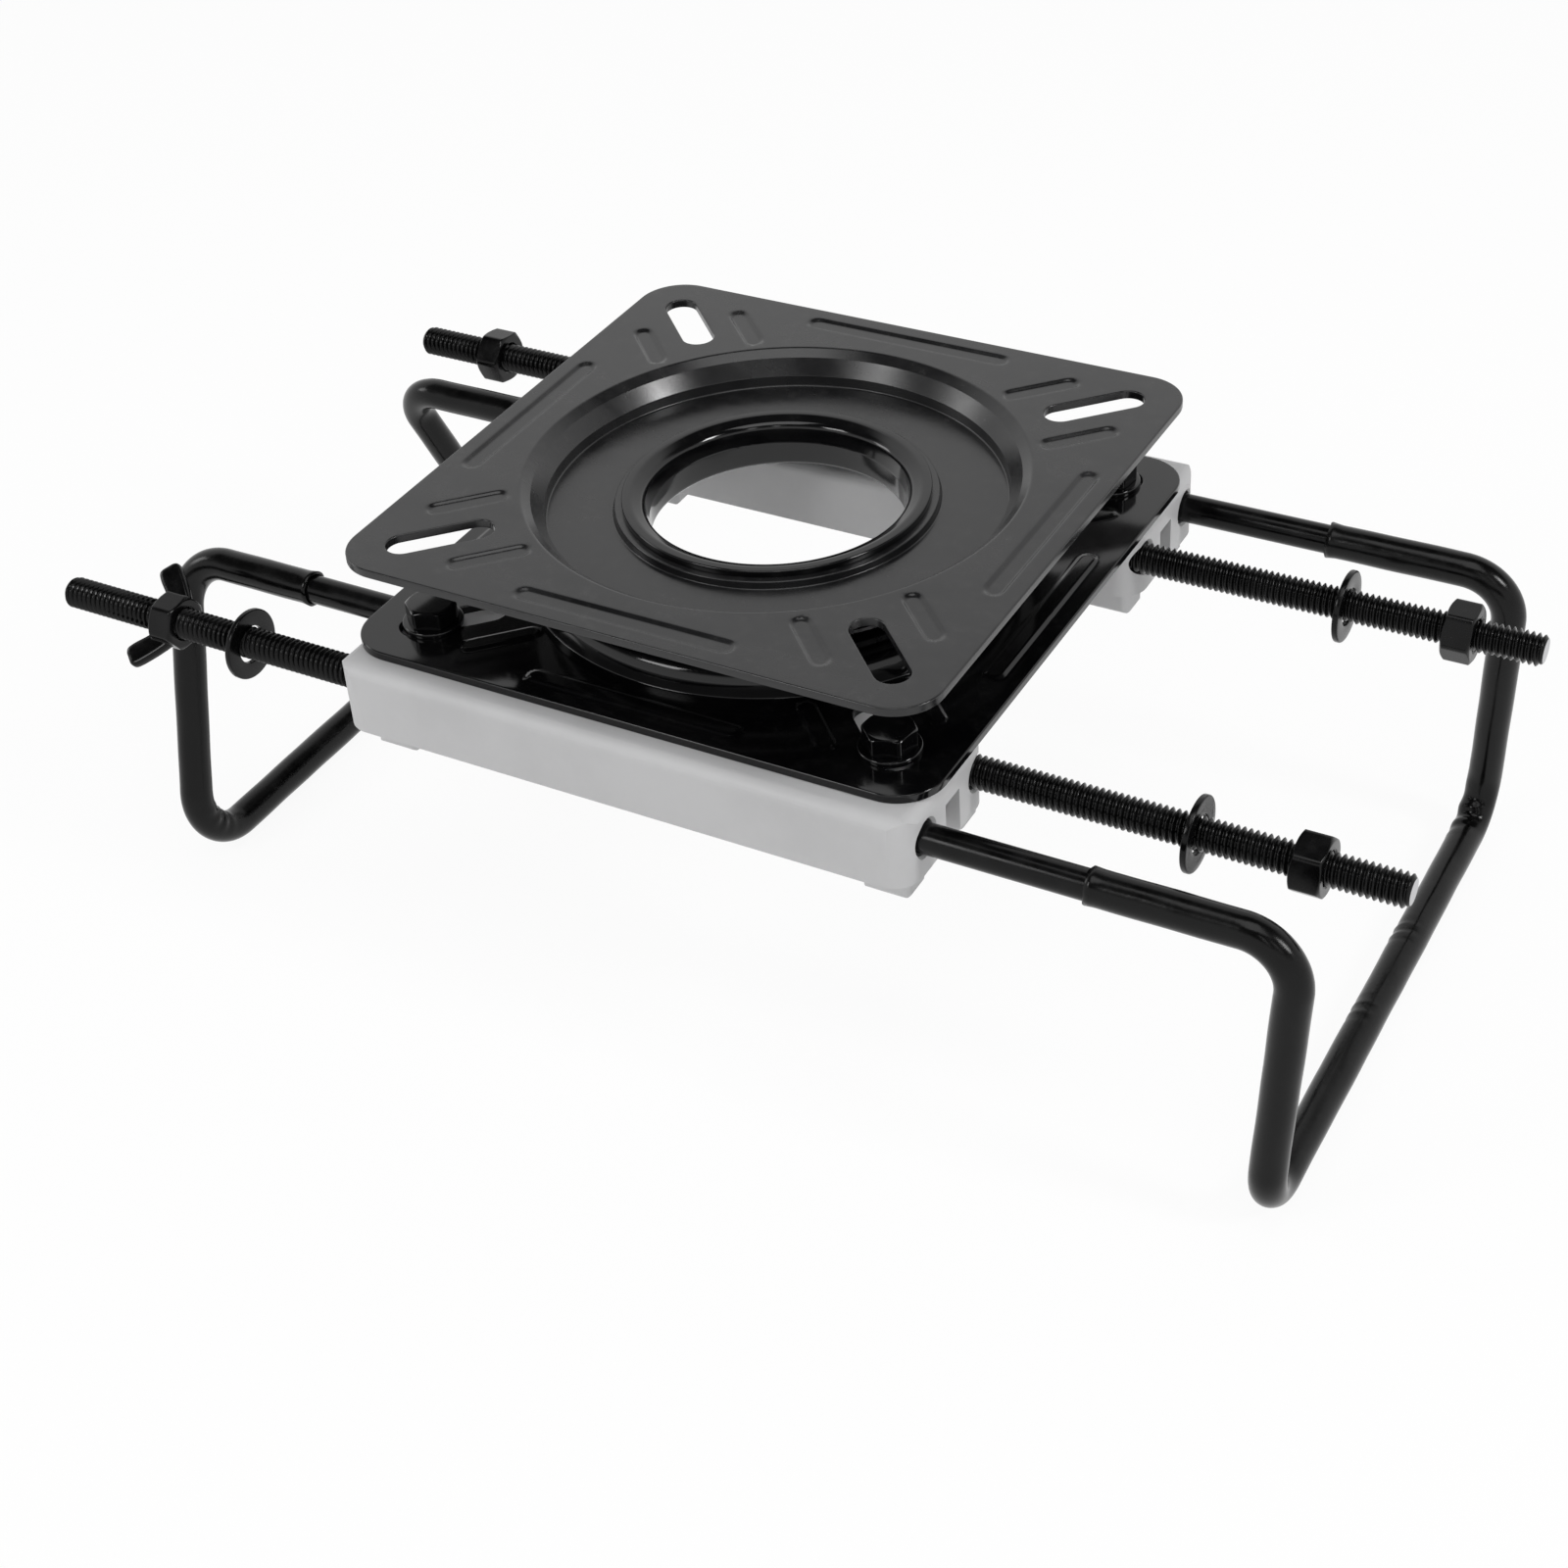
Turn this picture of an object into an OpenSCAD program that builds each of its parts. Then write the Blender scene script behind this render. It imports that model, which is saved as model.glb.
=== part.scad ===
// Clamp-on swivel base for a bench seat: a seat plate turns on a ball race over
// a lower plate, and two hooked rods through the base bars grip the bench.
// The frame has its origin on the swivel axis, level with the undersides of the
// feet. X runs along the rods, Y along the cross bars and Z up.

/* [Seat plates] */
// Side of the square plates
plate_w = 178; // [160:1:200]
// Corner radius of the plates, seen from above
plate_corner_r = 13.5; // [10:0.5:18]
// Sheet thickness of the pressed plates
plate_t = 2.5; // [2:0.1:3]
// Distance from the plates' edges to the wall of the pressed dish
flange_w = 20; // [19:0.5:21]
// Bend radius on the inside of the dish's two edges
dish_bend_r = 3; // [2.8:0.1:4]
// Depth of the upper plate's dish
top_dish_depth = 10.6; // [10:0.1:14]
// Depth of the lower plate's dish
low_dish_depth = 8.6; // [8.5:0.1:12]
// Distance from the dish's wall to the step round the central hole
floor_w = 23.6; // [22:0.2:25]
// Height of that step
seat_step = 3.1; // [2.6:0.1:3.4]
// Radius on the step's edges
seat_edge_r = 1; // [0.5:0.1:1.2]

/* [Slots and beads] */
// Distance of the slots' centres from the plates' edges
slot_edge = 22.25; // [21:0.25:23]
// Slot length from end to end
slot_l = 30; // [24:1:31]
// Slot width
slot_w = 9.5; // [9:0.1:10.5]
// Distance of a long bead's ends from the plates' edges
long_bead_gap = 56; // [52:1:66]
// Distance of the long beads from the plates' edges
long_bead_edge = 8; // [7.5:0.5:8.5]
// Length of the short beads beside a slot
short_bead_l = 23; // [12:1:24]
// Sideways distance of a short bead from its slot
short_bead_off = 15; // [14:0.5:16]
// Distance that the short beads lie nearer to the axis than the slot
short_bead_in = 10.4; // [8:0.2:11]
// Width of a bead at the sheet's face
bead_w = 6; // [4:0.5:6.5]
// Depth of a bead
bead_depth = 1.2; // [0.6:0.1:1.4]

/* [Swivel] */
// Distance from the step to the bore of the ring that holds the plates together
ring_land = 9.4; // [8.8:0.1:11]
// Wall of that ring
ring_wall = 1.6; // [1.2:0.1:2]
// Distance from the step to its upper rolled rim
ring_rim_gap = 2; // [1.6:0.2:3.4]
// Thickness of the rolled rims
ring_rim_t = 2; // [1.6:0.1:2.4]
// Gap between the lower rim and the step that it sits in
low_rim_gap = 0.6; // [0.4:0.1:2]
// Running clearance between the ring and the lower plate
ring_clear = 0.3; // [0.2:0.05:0.4]
// Clearance between the ring's tube and the plate it is pressed into
ring_seat_clear = 0.1; // [0.05:0.05:0.2]
// Ball diameter
ball_d = 4.76; // [4.5:0.01:5]
// Clearance of the balls to each plate and in the cage
ball_clear = 0.1; // [0.05:0.01:0.15]
// Distance from the step to the circle on which the balls run
ball_run = 9.6; // [8:0.2:10.6]
// Distance between neighbouring balls on that circle
ball_pitch = 14.3; // [9:0.1:20]
// Radial width of the ball cage
cage_w = 16; // [12:0.5:18]
// Thickness of the ball cage
cage_t = 1.8; // [1.4:0.1:2.4]

/* [Base bars] */
// Distance by which the bars' ends stop short of the plates' edges
bar_short = 1; // [0:0.5:3]
// Width of each bar
bar_w = 47; // [46:0.5:52]
// Height of each bar without its feet
bar_h = 21; // [20:0.5:24]
// Corner radius of the bars, seen from above
bar_corner_r = 8; // [4:0.5:9]
// Radius along the bars' upper edges
bar_edge_r = 4; // [2:0.5:5]
// Wall between the inner bore's axis and the bar's inner face
bar_inner_wall = 6.6; // [6:0.1:8]
// Height of the rod axes above the bars' underside
bore_h = 11; // [9.5:0.5:12]
// Radial clearance of the rods' threads in the bars
bore_clear = 0.3; // [0.2:0.05:0.5]
// Chamfer at the mouths of the bores
bore_chamfer = 0.8; // [0.4:0.1:1]
// Width of the pockets in the bars' underside
pocket_w = 13; // [10:0.5:13.5]
// Thickness left above the pockets
pocket_roof = 5; // [4:0.5:7]
// Thickness of the pockets' ribs and end walls
rib_t = 3.5; // [2.5:0.5:4]
// Number of ribs between the two bolts of a bar
rib_count = 3; // [2:1:5]
// Wall beside the nuts' hexagonal pockets
boss_wall = 1; // [0.5:0.5:1.5]
// Width of the notch in each end wall
notch_w = 8; // [6:0.5:9]
// Height of the notch above the bars' underside
notch_h = 13.5; // [11:0.5:14]
// Height of the feet
foot_h = 6; // [4:0.5:7]
// Length of a foot along the bar
foot_l = 14; // [10:0.5:15]
// Width of a foot across the bar
foot_w = 11; // [8:0.5:12]
// Distance of the feet from the bars' outer side faces
foot_out_inset = 4.5; // [1.5:0.1:5]
// Distance of the feet from the bars' inner side faces
foot_in_inset = 1; // [0.8:0.1:3]
// Distance of the right feet from the bars' right ends
foot_right_inset = 2.5; // [2:0.5:8]
// Distance of the left feet from the bars' left ends
foot_left_inset = 7.5; // [2:0.5:12]
// Corner radius of the feet
foot_corner_r = 3; // [1:0.5:4]
// Radius along the feet's lower edges
foot_edge_r = 1.2; // [0.5:0.1:1.5]

/* [Plate bolts] */
// Distance of the bolts from the plates' edges
bolt_edge = 18.35; // [17.5:0.05:19]
// Diameter of the bolts that hold the lower plate to the bars
bolt_d = 8; // [7:0.5:8]
// Length of those bolts under the head
bolt_l = 25; // [24:0.5:25.5]
// Height of the bolt heads
bolt_head_h = 5.5; // [4.5:0.5:6]
// Width of the bolt heads and their nuts across flats
bolt_flats = 13; // [12:0.5:13]
// Outer diameter of the bolt washers
bolt_washer_d = 17; // [16:0.5:18]
// Thickness of the bolt washers
bolt_washer_t = 1.6; // [1.2:0.1:2]
// Height of the nuts under the bars
bolt_nut_h = 6.5; // [5:0.5:7]
// Distance of those nuts above the bars' underside
nut_sunk = 1.5; // [0.5:0.1:2]
// Clearance round the bolts and their nuts
bolt_clear = 0.15; // [0.1:0.05:0.3]
// Chamfer at the corners of every bolt head and nut
hex_chamfer = 1; // [0.6:0.1:1.2]
// Distance by which that chamfer reaches past the middle of the flats
hex_flat_edge = 0.35; // [0.1:0.05:0.5]

/* [Hook rods] */
// Diameter of the plain rod
rod_d = 8.4; // [7.5:0.1:8.6]
// Diameter over the crests of the rolled thread
thread_d = 9.3; // [8.8:0.1:9.6]
// How much longer than a bar an arm is, from its tip to the corner of the bend
arm_over = 201.5; // [190:0.5:220]
// How much shorter the rear arm of the right hook is
rear_arm_short = 8; // [0:0.5:10]
// Length of thread on each arm
thread_l = 122; // [120:1:160]
// Chamfer at the tips of the threads
tip_chamfer = 1.2; // [0.8:0.1:2]
// Centreline radius of the bends
bend_r = 14; // [12:0.5:16]
// Distance of the cross bars' axes below the arms' axes
hook_drop = 85.8; // [70:0.2:110]
// Distance of the cross bars' corners outside the right hook's arms
cross_splay = 5.6; // [3:0.1:9]
// Distance between the two arms that share a bar
arm_gap = 30.1; // [29.5:0.1:30.5]
// Distance of the right hook's corners from the bars' ends
right_out = 98; // [90:0.5:110]
// Distance of the left hook's corners from the bars' ends
left_out = 86; // [80:0.5:98]
// Inward lean of the right hook's legs over their height
right_lean = 2.8; // [0:0.1:8]
// Inward lean of the left hook's legs over their height
left_lean = 13.4; // [0:0.1:20]
// Outer diameter of the vinyl sleeves
sleeve_d = 10; // [9.6:0.1:11]
// Clearance between a rod and its sleeve
sleeve_clear = 0.05; // [0.03:0.01:0.1]
// Length of the right arms that the sleeve covers
right_sleeve_lap = 53.6; // [30:0.2:56]
// Length of the left arms that the sleeve covers
left_sleeve_lap = 48.6; // [30:0.2:56]

/* [Clamp nuts] */
// Width of the hexagon nuts across flats
nut_flats = 15.2; // [14.2:0.1:17]
// Height of the hexagon nuts
nut_h = 8.3; // [7:0.1:9]
// Radial running clearance of the nuts on the threads
nut_clear = 0.06; // [0.02:0.01:0.1]
// Outer diameter of the clamp washers
washer_d = 20.6; // [19:0.2:22]
// Radial clearance of the clamp washers on the threads
washer_clear = 0.8; // [0.8:0.1:1.2]
// Distance by which the clamp washers hang below the rods' axes
washer_hang = 0.5; // [0:0.1:0.5]
// Thickness of the clamp washers
washer_t = 1.7; // [1.4:0.1:2.2]
// Distance of the wing nut's foot from the tip of its arm
wing_from_tip = 42.5; // [26:0.5:46]
// Distance of the rear left nut's inner face from the tip of its arm
rear_left_from_tip = 33; // [12:0.5:36]
// Distance of the front right nut's inner face from the tip of its arm
front_right_from_tip = 29.3; // [12:0.1:32]
// Distance of the rear right nut's inner face from the tip of its arm
rear_right_from_tip = 27; // [12:0.5:32]
// Place of the front left washer between the bar, 0, and the nut, 1
washer_fl = 0.607; // [0.3:0.001:0.8]
// Place of the rear left washer between the bar and the nut
washer_rl = 0.456; // [0.3:0.001:0.8]
// Place of the front right washer between the bar and the nut
washer_fr = 0.689; // [0.3:0.001:0.8]
// Place of the rear right washer between the bar and the nut
washer_rr = 0.667; // [0.3:0.001:0.8]
// Width of the wing nut's body across flats
wing_flats = 14.4; // [13.8:0.1:16]
// Height of that body
wing_body_h = 8; // [7:0.5:9]
// Distance of the wings' round ends from the rod's axis
wing_end_r = 12.5; // [11:0.5:16]
// Height of the wings' round ends above the foot of the body
wing_end_h = 12; // [9:0.5:14]
// Width of a wing
wing_w = 7; // [5:0.5:8]
// Thickness of a wing
wing_t = 3.6; // [2.4:0.2:4.4]
// Turn of the wings away from level
wing_turn = 37; // [0:1:90]

/* [Hidden] */

$fn = 48;
eps = 0.01;
knit = 0.04;
knit_turn = 1;
over = 1;

plate_black = [0.13, 0.13, 0.14];
gloss_black = [0.05, 0.05, 0.055];
bar_grey = [0.7, 0.7, 0.71];
rod_black = [0.1, 0.1, 0.105];
vinyl_black = [0.07, 0.07, 0.075];
steel = [0.6, 0.6, 0.62];

// Sizes that follow the plates' side
dish_r = plate_w / 2 - flange_w;
seat_r = dish_r - floor_w;
slot_c = plate_w / 2 - slot_edge;
long_bead_pos = plate_w / 2 - long_bead_edge;
long_bead_l = plate_w - 2 * long_bead_gap;
bolt_c = plate_w / 2 - bolt_edge;
bar_l = plate_w - 2 * bar_short;
narrow_arm_y = bolt_c - arm_gap / 2;
wide_arm_y = bolt_c + arm_gap / 2;
cross_half = wide_arm_y + cross_splay;

// Heights of the stack above the feet
bar_z = foot_h;
rod_z = bar_z + bore_h;
bar_top_z = bar_z + bar_h;
low_flange_z = bar_top_z;
low_face_z = low_flange_z + plate_t;
low_floor_z = low_flange_z + low_dish_depth + plate_t;
race_gap = ball_d + 2 * ball_clear;
top_floor_z = low_floor_z + race_gap + plate_t;
top_face_z = top_floor_z + top_dish_depth;
low_seat_under_z = low_floor_z + seat_step - plate_t;
top_seat_z = top_floor_z + seat_step;

// The bolt nuts sit up in their pockets, clear of the bench
nut_seat_z = bar_z + bolt_nut_h + nut_sunk;

// Places across the bars
bar_in_y = narrow_arm_y - bar_inner_wall;
bar_out_y = bar_in_y + bar_w;
bar_mid_y = (bar_in_y + bar_out_y) / 2;
bore_r = thread_d / 2 + bore_clear;
bolt_boss = bolt_flats / cos(30) + 2 * boss_wall;
pocket_h = bar_h - pocket_roof;
notch_floor = bar_l / 2 - rib_t;

// Radii of the ring, the sheets' inner openings and the ball race
ring_bore_r = seat_r - ring_land;
ring_rim_r = seat_r - ring_rim_gap;
ring_tube_r = ring_bore_r + ring_wall;
top_hole_r = ring_tube_r + ring_seat_clear;
low_hole_r = ring_tube_r + ring_clear;
cage_in_r = seat_r + ring_clear;
ball_track_r = seat_r + ball_run;
ball_count = floor(2 * PI * ball_track_r / ball_pitch);

// A bead is a ball-ended groove, sunk into the face by its depth
bead_r = (pow(bead_w / 2, 2) + pow(bead_depth, 2)) / (2 * bead_depth);

// Paths of the hooks' centrelines
cross_z = rod_z - hook_drop;
arm_l = bar_l + arm_over;
right_reach = bar_l / 2 + right_out;
left_reach = bar_l / 2 + left_out;

function unit(v) = v / norm(v);
function turn_of(u, v) = acos(max(-1, min(1, u * v)));

// The right hook has side 1 and runs its threads out on the left. The path
// starts on the front arm and ends on the rear arm, short by the last value.
function hook_path(side, reach, arm_y, lean, start, short) = [
    [start, -arm_y, rod_z],
    [side * reach, -arm_y, rod_z],
    [side * (reach - lean), -cross_half, cross_z],
    [side * (reach - lean), cross_half, cross_z],
    [side * reach, arm_y, rod_z],
    [start + side * short, arm_y, rod_z]
];

right_tip = right_reach - arm_l;
left_tip = arm_l - left_reach;
rear_left_tip = right_tip + rear_arm_short;
right_sleeve_start = right_reach - right_sleeve_lap;
left_sleeve_start = left_sleeve_lap - left_reach;

// Distances of the nuts from the bars' ends
wing_fl = -right_tip - bar_l / 2 - wing_from_tip;
nut_rl = -rear_left_tip - bar_l / 2 - rear_left_from_tip;
nut_fr = left_tip - bar_l / 2 - front_right_from_tip;
nut_rr = left_tip - bar_l / 2 - rear_right_from_tip;

// Square with round corners about the origin
module rounded_rect(x, y, r) {
    square([x, y - 2 * r], center = true);
    square([x - 2 * r, y], center = true);
    for (sx = [-1, 1], sy = [-1, 1])
        translate([sx * (x / 2 - r), sy * (y / 2 - r)])
            circle(r);
}

// Long hole with round ends along x
module obround(l, w) {
    square([l - w, w], center = true);
    for (s = [-1, 1])
        translate([s * (l - w) / 2, 0])
            circle(w / 2);
}

// Quarter of a ring between two radii, in the quadrant that sx and sy point to
module quarter_band(r_in, r_out, sx, sy) {
    intersection() {
        difference() {
            circle(r_out);
            if (r_in > 0)
                circle(r_in);
        }
        translate([sx > 0 ? 0 : -r_out, sy > 0 ? 0 : -r_out])
            square(r_out);
    }
}

// Half section of a dished sheet. Its flange's face is at height 0 and the dish
// goes down by depth. The step round the hole rises for way 1 and falls for -1.
module dish_section(depth, way, hole_r) {
    edge_r = dish_r + dish_bend_r;
    floor_r = dish_r - dish_bend_r;
    translate([edge_r, -plate_t])
        square([over, plate_t]);
    translate([edge_r, -dish_bend_r])
        quarter_band(dish_bend_r - plate_t, dish_bend_r, -1, 1);
    translate([dish_r, dish_bend_r - depth])
        square([plate_t, depth - 2 * dish_bend_r]);
    translate([floor_r, dish_bend_r - depth])
        quarter_band(dish_bend_r, dish_bend_r + plate_t, 1, -1);
    translate([seat_r - plate_t, -depth - plate_t])
        square([floor_r - seat_r + plate_t, plate_t]);
    seat_face = -depth + way * seat_step;
    translate([hole_r, seat_face - plate_t])
        square([seat_r - seat_edge_r - hole_r, plate_t]);
    step_low = min(-depth, seat_face) - plate_t;
    step_high = max(-depth, seat_face);
    difference() {
        translate([seat_r - plate_t, step_low])
            square([plate_t, step_high - step_low]);
        if (way > 0)
            translate([seat_r - seat_edge_r, seat_face - seat_edge_r])
                difference() {
                    square(2 * seat_edge_r);
                    circle(seat_edge_r);
                }
    }
}

// Groove or rib along x with ball ends, cut by the face at height 0
module bead_tool(l, extra) {
    straight = l - bead_w;
    translate([0, 0, bead_r - bead_depth]) {
        rotate([0, 90, 0])
            cylinder(h = straight, r = bead_r + extra, center = true);
        for (s = [-1, 1])
            translate([s * straight / 2, 0, 0])
                sphere(bead_r + extra);
    }
}

// Places every bead of a plate
module beads(extra) {
    for (a = [0:90:270])
        rotate([0, 0, a]) {
            translate([0, long_bead_pos, 0])
                bead_tool(long_bead_l, extra);
            rotate([0, 0, 45])
                for (s = [-1, 1])
                    translate([slot_c * sqrt(2) - short_bead_in, s * short_bead_off, 0])
                        bead_tool(short_bead_l, extra);
        }
}

// Pressed plate with its flange's face at height 0 and its dish pointing down
module pressed_plate(depth, way, hole_r) {
    difference() {
        union() {
            translate([0, 0, -plate_t])
                linear_extrude(plate_t)
                    difference() {
                        rounded_rect(plate_w, plate_w, plate_corner_r);
                        circle(dish_r + dish_bend_r, $fn = 96);
                    }
            rotate_extrude($fn = 96)
                dish_section(depth, way, hole_r);
            intersection() {
                beads(plate_t);
                translate([-plate_w / 2, -plate_w / 2, -2 * plate_t])
                    cube([plate_w, plate_w, 1.5 * plate_t]);
            }
        }
        beads(0);
        for (a = [45:90:315])
            rotate([0, 0, a])
                translate([slot_c * sqrt(2), 0, -3 * plate_t])
                    linear_extrude(4 * plate_t)
                        obround(slot_l, slot_w);
    }
}

module top_plate() {
    color(plate_black)
        translate([0, 0, top_face_z])
            pressed_plate(top_dish_depth, 1, top_hole_r);
}

module lower_plate() {
    color(gloss_black)
        translate([0, 0, low_flange_z])
            mirror([0, 0, 1])
                pressed_plate(low_dish_depth, -1, low_hole_r);
}

// Rolled rim in half section: flat against the seat, both outer edges round
module rim_section(r_out) {
    edge = ring_rim_t - eps;
    translate([ring_bore_r + edge, 0])
        square([r_out - ring_bore_r - 2 * edge, ring_rim_t]);
    translate([ring_bore_r + edge, 0])
        quarter_band(0, edge, -1, 1);
    translate([r_out - edge, 0])
        quarter_band(0, edge, 1, 1);
}

module centre_ring() {
    low_rim_z = low_seat_under_z - ring_clear;
    color(gloss_black)
        rotate_extrude($fn = 96) {
            translate([ring_bore_r, low_rim_z])
                square([ring_wall, top_seat_z - low_rim_z]);
            translate([0, top_seat_z])
                rim_section(ring_rim_r);
            translate([0, low_rim_z])
                mirror([0, 1])
                    rim_section(seat_r - plate_t - low_rim_gap);
        }
}

module ball_cage() {
    mid_z = low_floor_z + race_gap / 2;
    color(steel)
        translate([0, 0, mid_z - cage_t / 2])
            difference() {
                cylinder(h = cage_t, r = cage_in_r + cage_w, $fn = 96);
                translate([0, 0, -over])
                    cylinder(h = cage_t + 2 * over, r = cage_in_r, $fn = 96);
                for (i = [0:ball_count - 1])
                    rotate([0, 0, i * 360 / ball_count])
                        translate([ball_track_r, 0, -over])
                            cylinder(h = cage_t + 2 * over, r = ball_d / 2 + ball_clear, $fn = 24);
            }
}

module bearing_balls() {
    color(steel)
        for (i = [0:ball_count - 1])
            rotate([0, 0, i * 360 / ball_count])
                translate([ball_track_r, 0, low_floor_z + race_gap / 2])
                    sphere(ball_d / 2, $fn = 24);
}

// Block with round plan corners and round upper edges, its base at height 0
module soft_block(x, y, h, plan_r, edge_r) {
    intersection() {
        linear_extrude(h)
            rounded_rect(x, y, plan_r);
        rotate([90, 0, 90])
            linear_extrude(x, center = true)
                arched(y, h, edge_r);
        rotate([90, 0, 0])
            linear_extrude(y, center = true)
                arched(x, h, edge_r);
    }
}

// Rectangle standing on height 0 with two round upper corners
module arched(w, h, r) {
    translate([-w / 2, 0])
        square([w, h - r]);
    translate([r - w / 2, 0])
        square([w - 2 * r, h]);
    for (s = [-1, 1])
        translate([s * (w / 2 - r), h - r])
            circle(r);
}

// Bore along x through a bar, with chamfered mouths
module bar_bore(y) {
    translate([-bar_l / 2 - over, y, rod_z])
        rotate([0, 90, 0])
            cylinder(h = bar_l + 2 * over, r = bore_r);
    for (s = [-1, 1])
        translate([s * bar_l / 2, y, rod_z])
            rotate([0, -s * 90, 0])
                cylinder(h = bore_chamfer, r1 = bore_r + bore_chamfer, r2 = bore_r);
}

// The rear bar, in place. The front bar is its mirror image.
module base_bar() {
    difference() {
        union() {
            translate([0, bar_mid_y, bar_z])
                soft_block(bar_l, bar_w, bar_h, bar_corner_r, bar_edge_r);
            feet();
        }
        bar_bore(narrow_arm_y);
        bar_bore(wide_arm_y);
        pockets();
        for (s = [-1, 1])
            translate([s * bolt_c, bolt_c, 0]) {
                cylinder(h = bar_top_z + over, r = bolt_d / 2 + bolt_clear);
                rotate([0, 0, 30])
                    cylinder(h = nut_seat_z, r = (bolt_flats / 2 + bolt_clear) / cos(30), $fn = 6);
            }
    }
}

module feet() {
    right_x = bar_l / 2 - foot_right_inset - foot_l / 2;
    left_x = foot_left_inset + foot_l / 2 - bar_l / 2;
    in_y = bar_in_y + foot_in_inset + foot_w / 2;
    out_y = bar_out_y - foot_out_inset - foot_w / 2;
    for (x = [left_x, right_x], y = [in_y, out_y])
        translate([x, y, foot_h])
            mirror([0, 0, 1])
                soft_block(foot_l, foot_w, foot_h, foot_corner_r, foot_edge_r);
}

// Ribbed pockets between the two bores, open below, and the end notches
module pockets() {
    first = bolt_c - bolt_boss / 2;
    cell = (2 * first - rib_count * rib_t) / (rib_count + 1);
    for (i = [0:rib_count])
        translate([-first + i * (cell + rib_t), bolt_c - pocket_w / 2, bar_z - over])
            cube([cell, pocket_w, pocket_h + over]);
    for (s = [-1, 1]) {
        inner = bolt_c + bolt_boss / 2;
        translate([s > 0 ? inner : -notch_floor, bolt_c - pocket_w / 2, bar_z - over])
            cube([notch_floor - inner, pocket_w, pocket_h + over]);
        translate([s > 0 ? inner : -bar_l / 2 - over, bolt_c - notch_w / 2, bar_z - over])
            cube([bar_l / 2 + over - inner, notch_w, notch_h + over]);
    }
}

module rear_bar() {
    color(bar_grey)
        base_bar();
}

module front_bar() {
    color(bar_grey)
        mirror([0, 1, 0])
            base_bar();
}

// Puts its children at the four bolts
module at_bolts() {
    for (sx = [-1, 1], sy = [-1, 1])
        translate([sx * bolt_c, sy * bolt_c, 0])
            children();
}

// Hexagon across flats, chamfered at its upper rim
module hex_block(flats, h) {
    corner_r = flats / 2 / cos(30);
    top_r = flats / 2 - hex_flat_edge;
    slope = (corner_r - top_r) / hex_chamfer;
    intersection() {
        cylinder(h = h, r = corner_r, $fn = 6);
        cylinder(h = h, r1 = top_r + slope * h, r2 = top_r);
    }
}

module plate_bolts() {
    color(gloss_black)
        at_bolts()
            translate([0, 0, low_face_z + bolt_washer_t]) {
                hex_block(bolt_flats, bolt_head_h);
                translate([0, 0, -bolt_l])
                    cylinder(h = bolt_l, r = bolt_d / 2);
            }
}

module bolt_washers() {
    color(gloss_black)
        at_bolts()
            translate([0, 0, low_face_z])
                difference() {
                    cylinder(h = bolt_washer_t, r = bolt_washer_d / 2);
                    translate([0, 0, -over])
                        cylinder(h = bolt_washer_t + 2 * over, r = bolt_d / 2 + bolt_clear);
                }
}

module bolt_nuts() {
    color(steel)
        at_bolts()
            rotate([0, 0, 30])
                translate([0, 0, nut_seat_z - bolt_nut_h])
                    difference() {
                        cylinder(h = bolt_nut_h, r = bolt_flats / 2 / cos(30), $fn = 6);
                        translate([0, 0, -over])
                            cylinder(h = bolt_nut_h + 2 * over, r = bolt_d / 2 + bolt_clear / 3);
                    }
}

// Round bar or tube between two points. With d_in above 0 it is hollow.
module straight_piece(p, q, d_out, d_in) {
    v = q - p;
    translate(p)
        rotate([0, acos(v[2] / norm(v)), atan2(v[1], v[0])])
            difference() {
                cylinder(h = norm(v), r = d_out / 2);
                if (d_in > 0)
                    translate([0, 0, -over])
                        cylinder(h = norm(v) + 2 * over, r = d_in / 2);
            }
}

// Bend at corner p between the directions u and v
module bend_piece(p, u, v, d_out, d_in) {
    turn = turn_of(u, v);
    n = unit(v - (u * v) * u);
    x = -n;
    z = cross(u, n);
    c = p - bend_r * tan(turn / 2) * u + bend_r * n;
    multmatrix([
        [x[0], u[0], z[0], c[0]],
        [x[1], u[1], z[1], c[1]],
        [x[2], u[2], z[2], c[2]],
        [0, 0, 0, 1]
    ])
        rotate([0, 0, -knit_turn])
            rotate_extrude(angle = turn + 2 * knit_turn)
                translate([bend_r, 0])
                    difference() {
                        circle(d_out / 2, $fn = 32);
                        if (d_in > 0)
                            circle(d_in / 2, $fn = 32);
                    }
}

// Rod or tube along a path with a bend at each inner corner. A bend's wall is
// thinner by the knit on each side, so that it ends inside the straight pieces.
module bent_piece(path, d_out, d_in) {
    last = len(path) - 1;
    dirs = [for (i = [0:last - 1]) unit(path[i + 1] - path[i])];
    cut = [for (i = [0:last]) i == 0 || i == last ? 0 : bend_r * tan(turn_of(dirs[i - 1], dirs[i]) / 2)];
    for (i = [0:last - 1])
        straight_piece(path[i] + cut[i] * dirs[i], path[i + 1] - cut[i + 1] * dirs[i], d_out, d_in);
    for (i = [1:last - 1])
        bend_piece(path[i], dirs[i - 1], dirs[i], d_out - knit, d_in > 0 ? d_in + knit : 0);
}

// Hook rod with its two thicker threaded ends
module hook_rod(side, reach, arm_y, lean, tip, short) {
    bent_piece(hook_path(side, reach, arm_y, lean, tip + side * (thread_l - over), short), rod_d, 0);
    for (s = [-1, 1])
        translate([s > 0 ? tip + side * short : tip, s * arm_y, rod_z])
            rotate([0, side * 90, 0]) {
                cylinder(h = tip_chamfer, r1 = thread_d / 2 - tip_chamfer, r2 = thread_d / 2);
                translate([0, 0, tip_chamfer])
                    cylinder(h = thread_l - tip_chamfer, r = thread_d / 2);
            }
}

module right_hook() {
    color(rod_black)
        hook_rod(1, right_reach, wide_arm_y, right_lean, right_tip, rear_arm_short);
}

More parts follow.
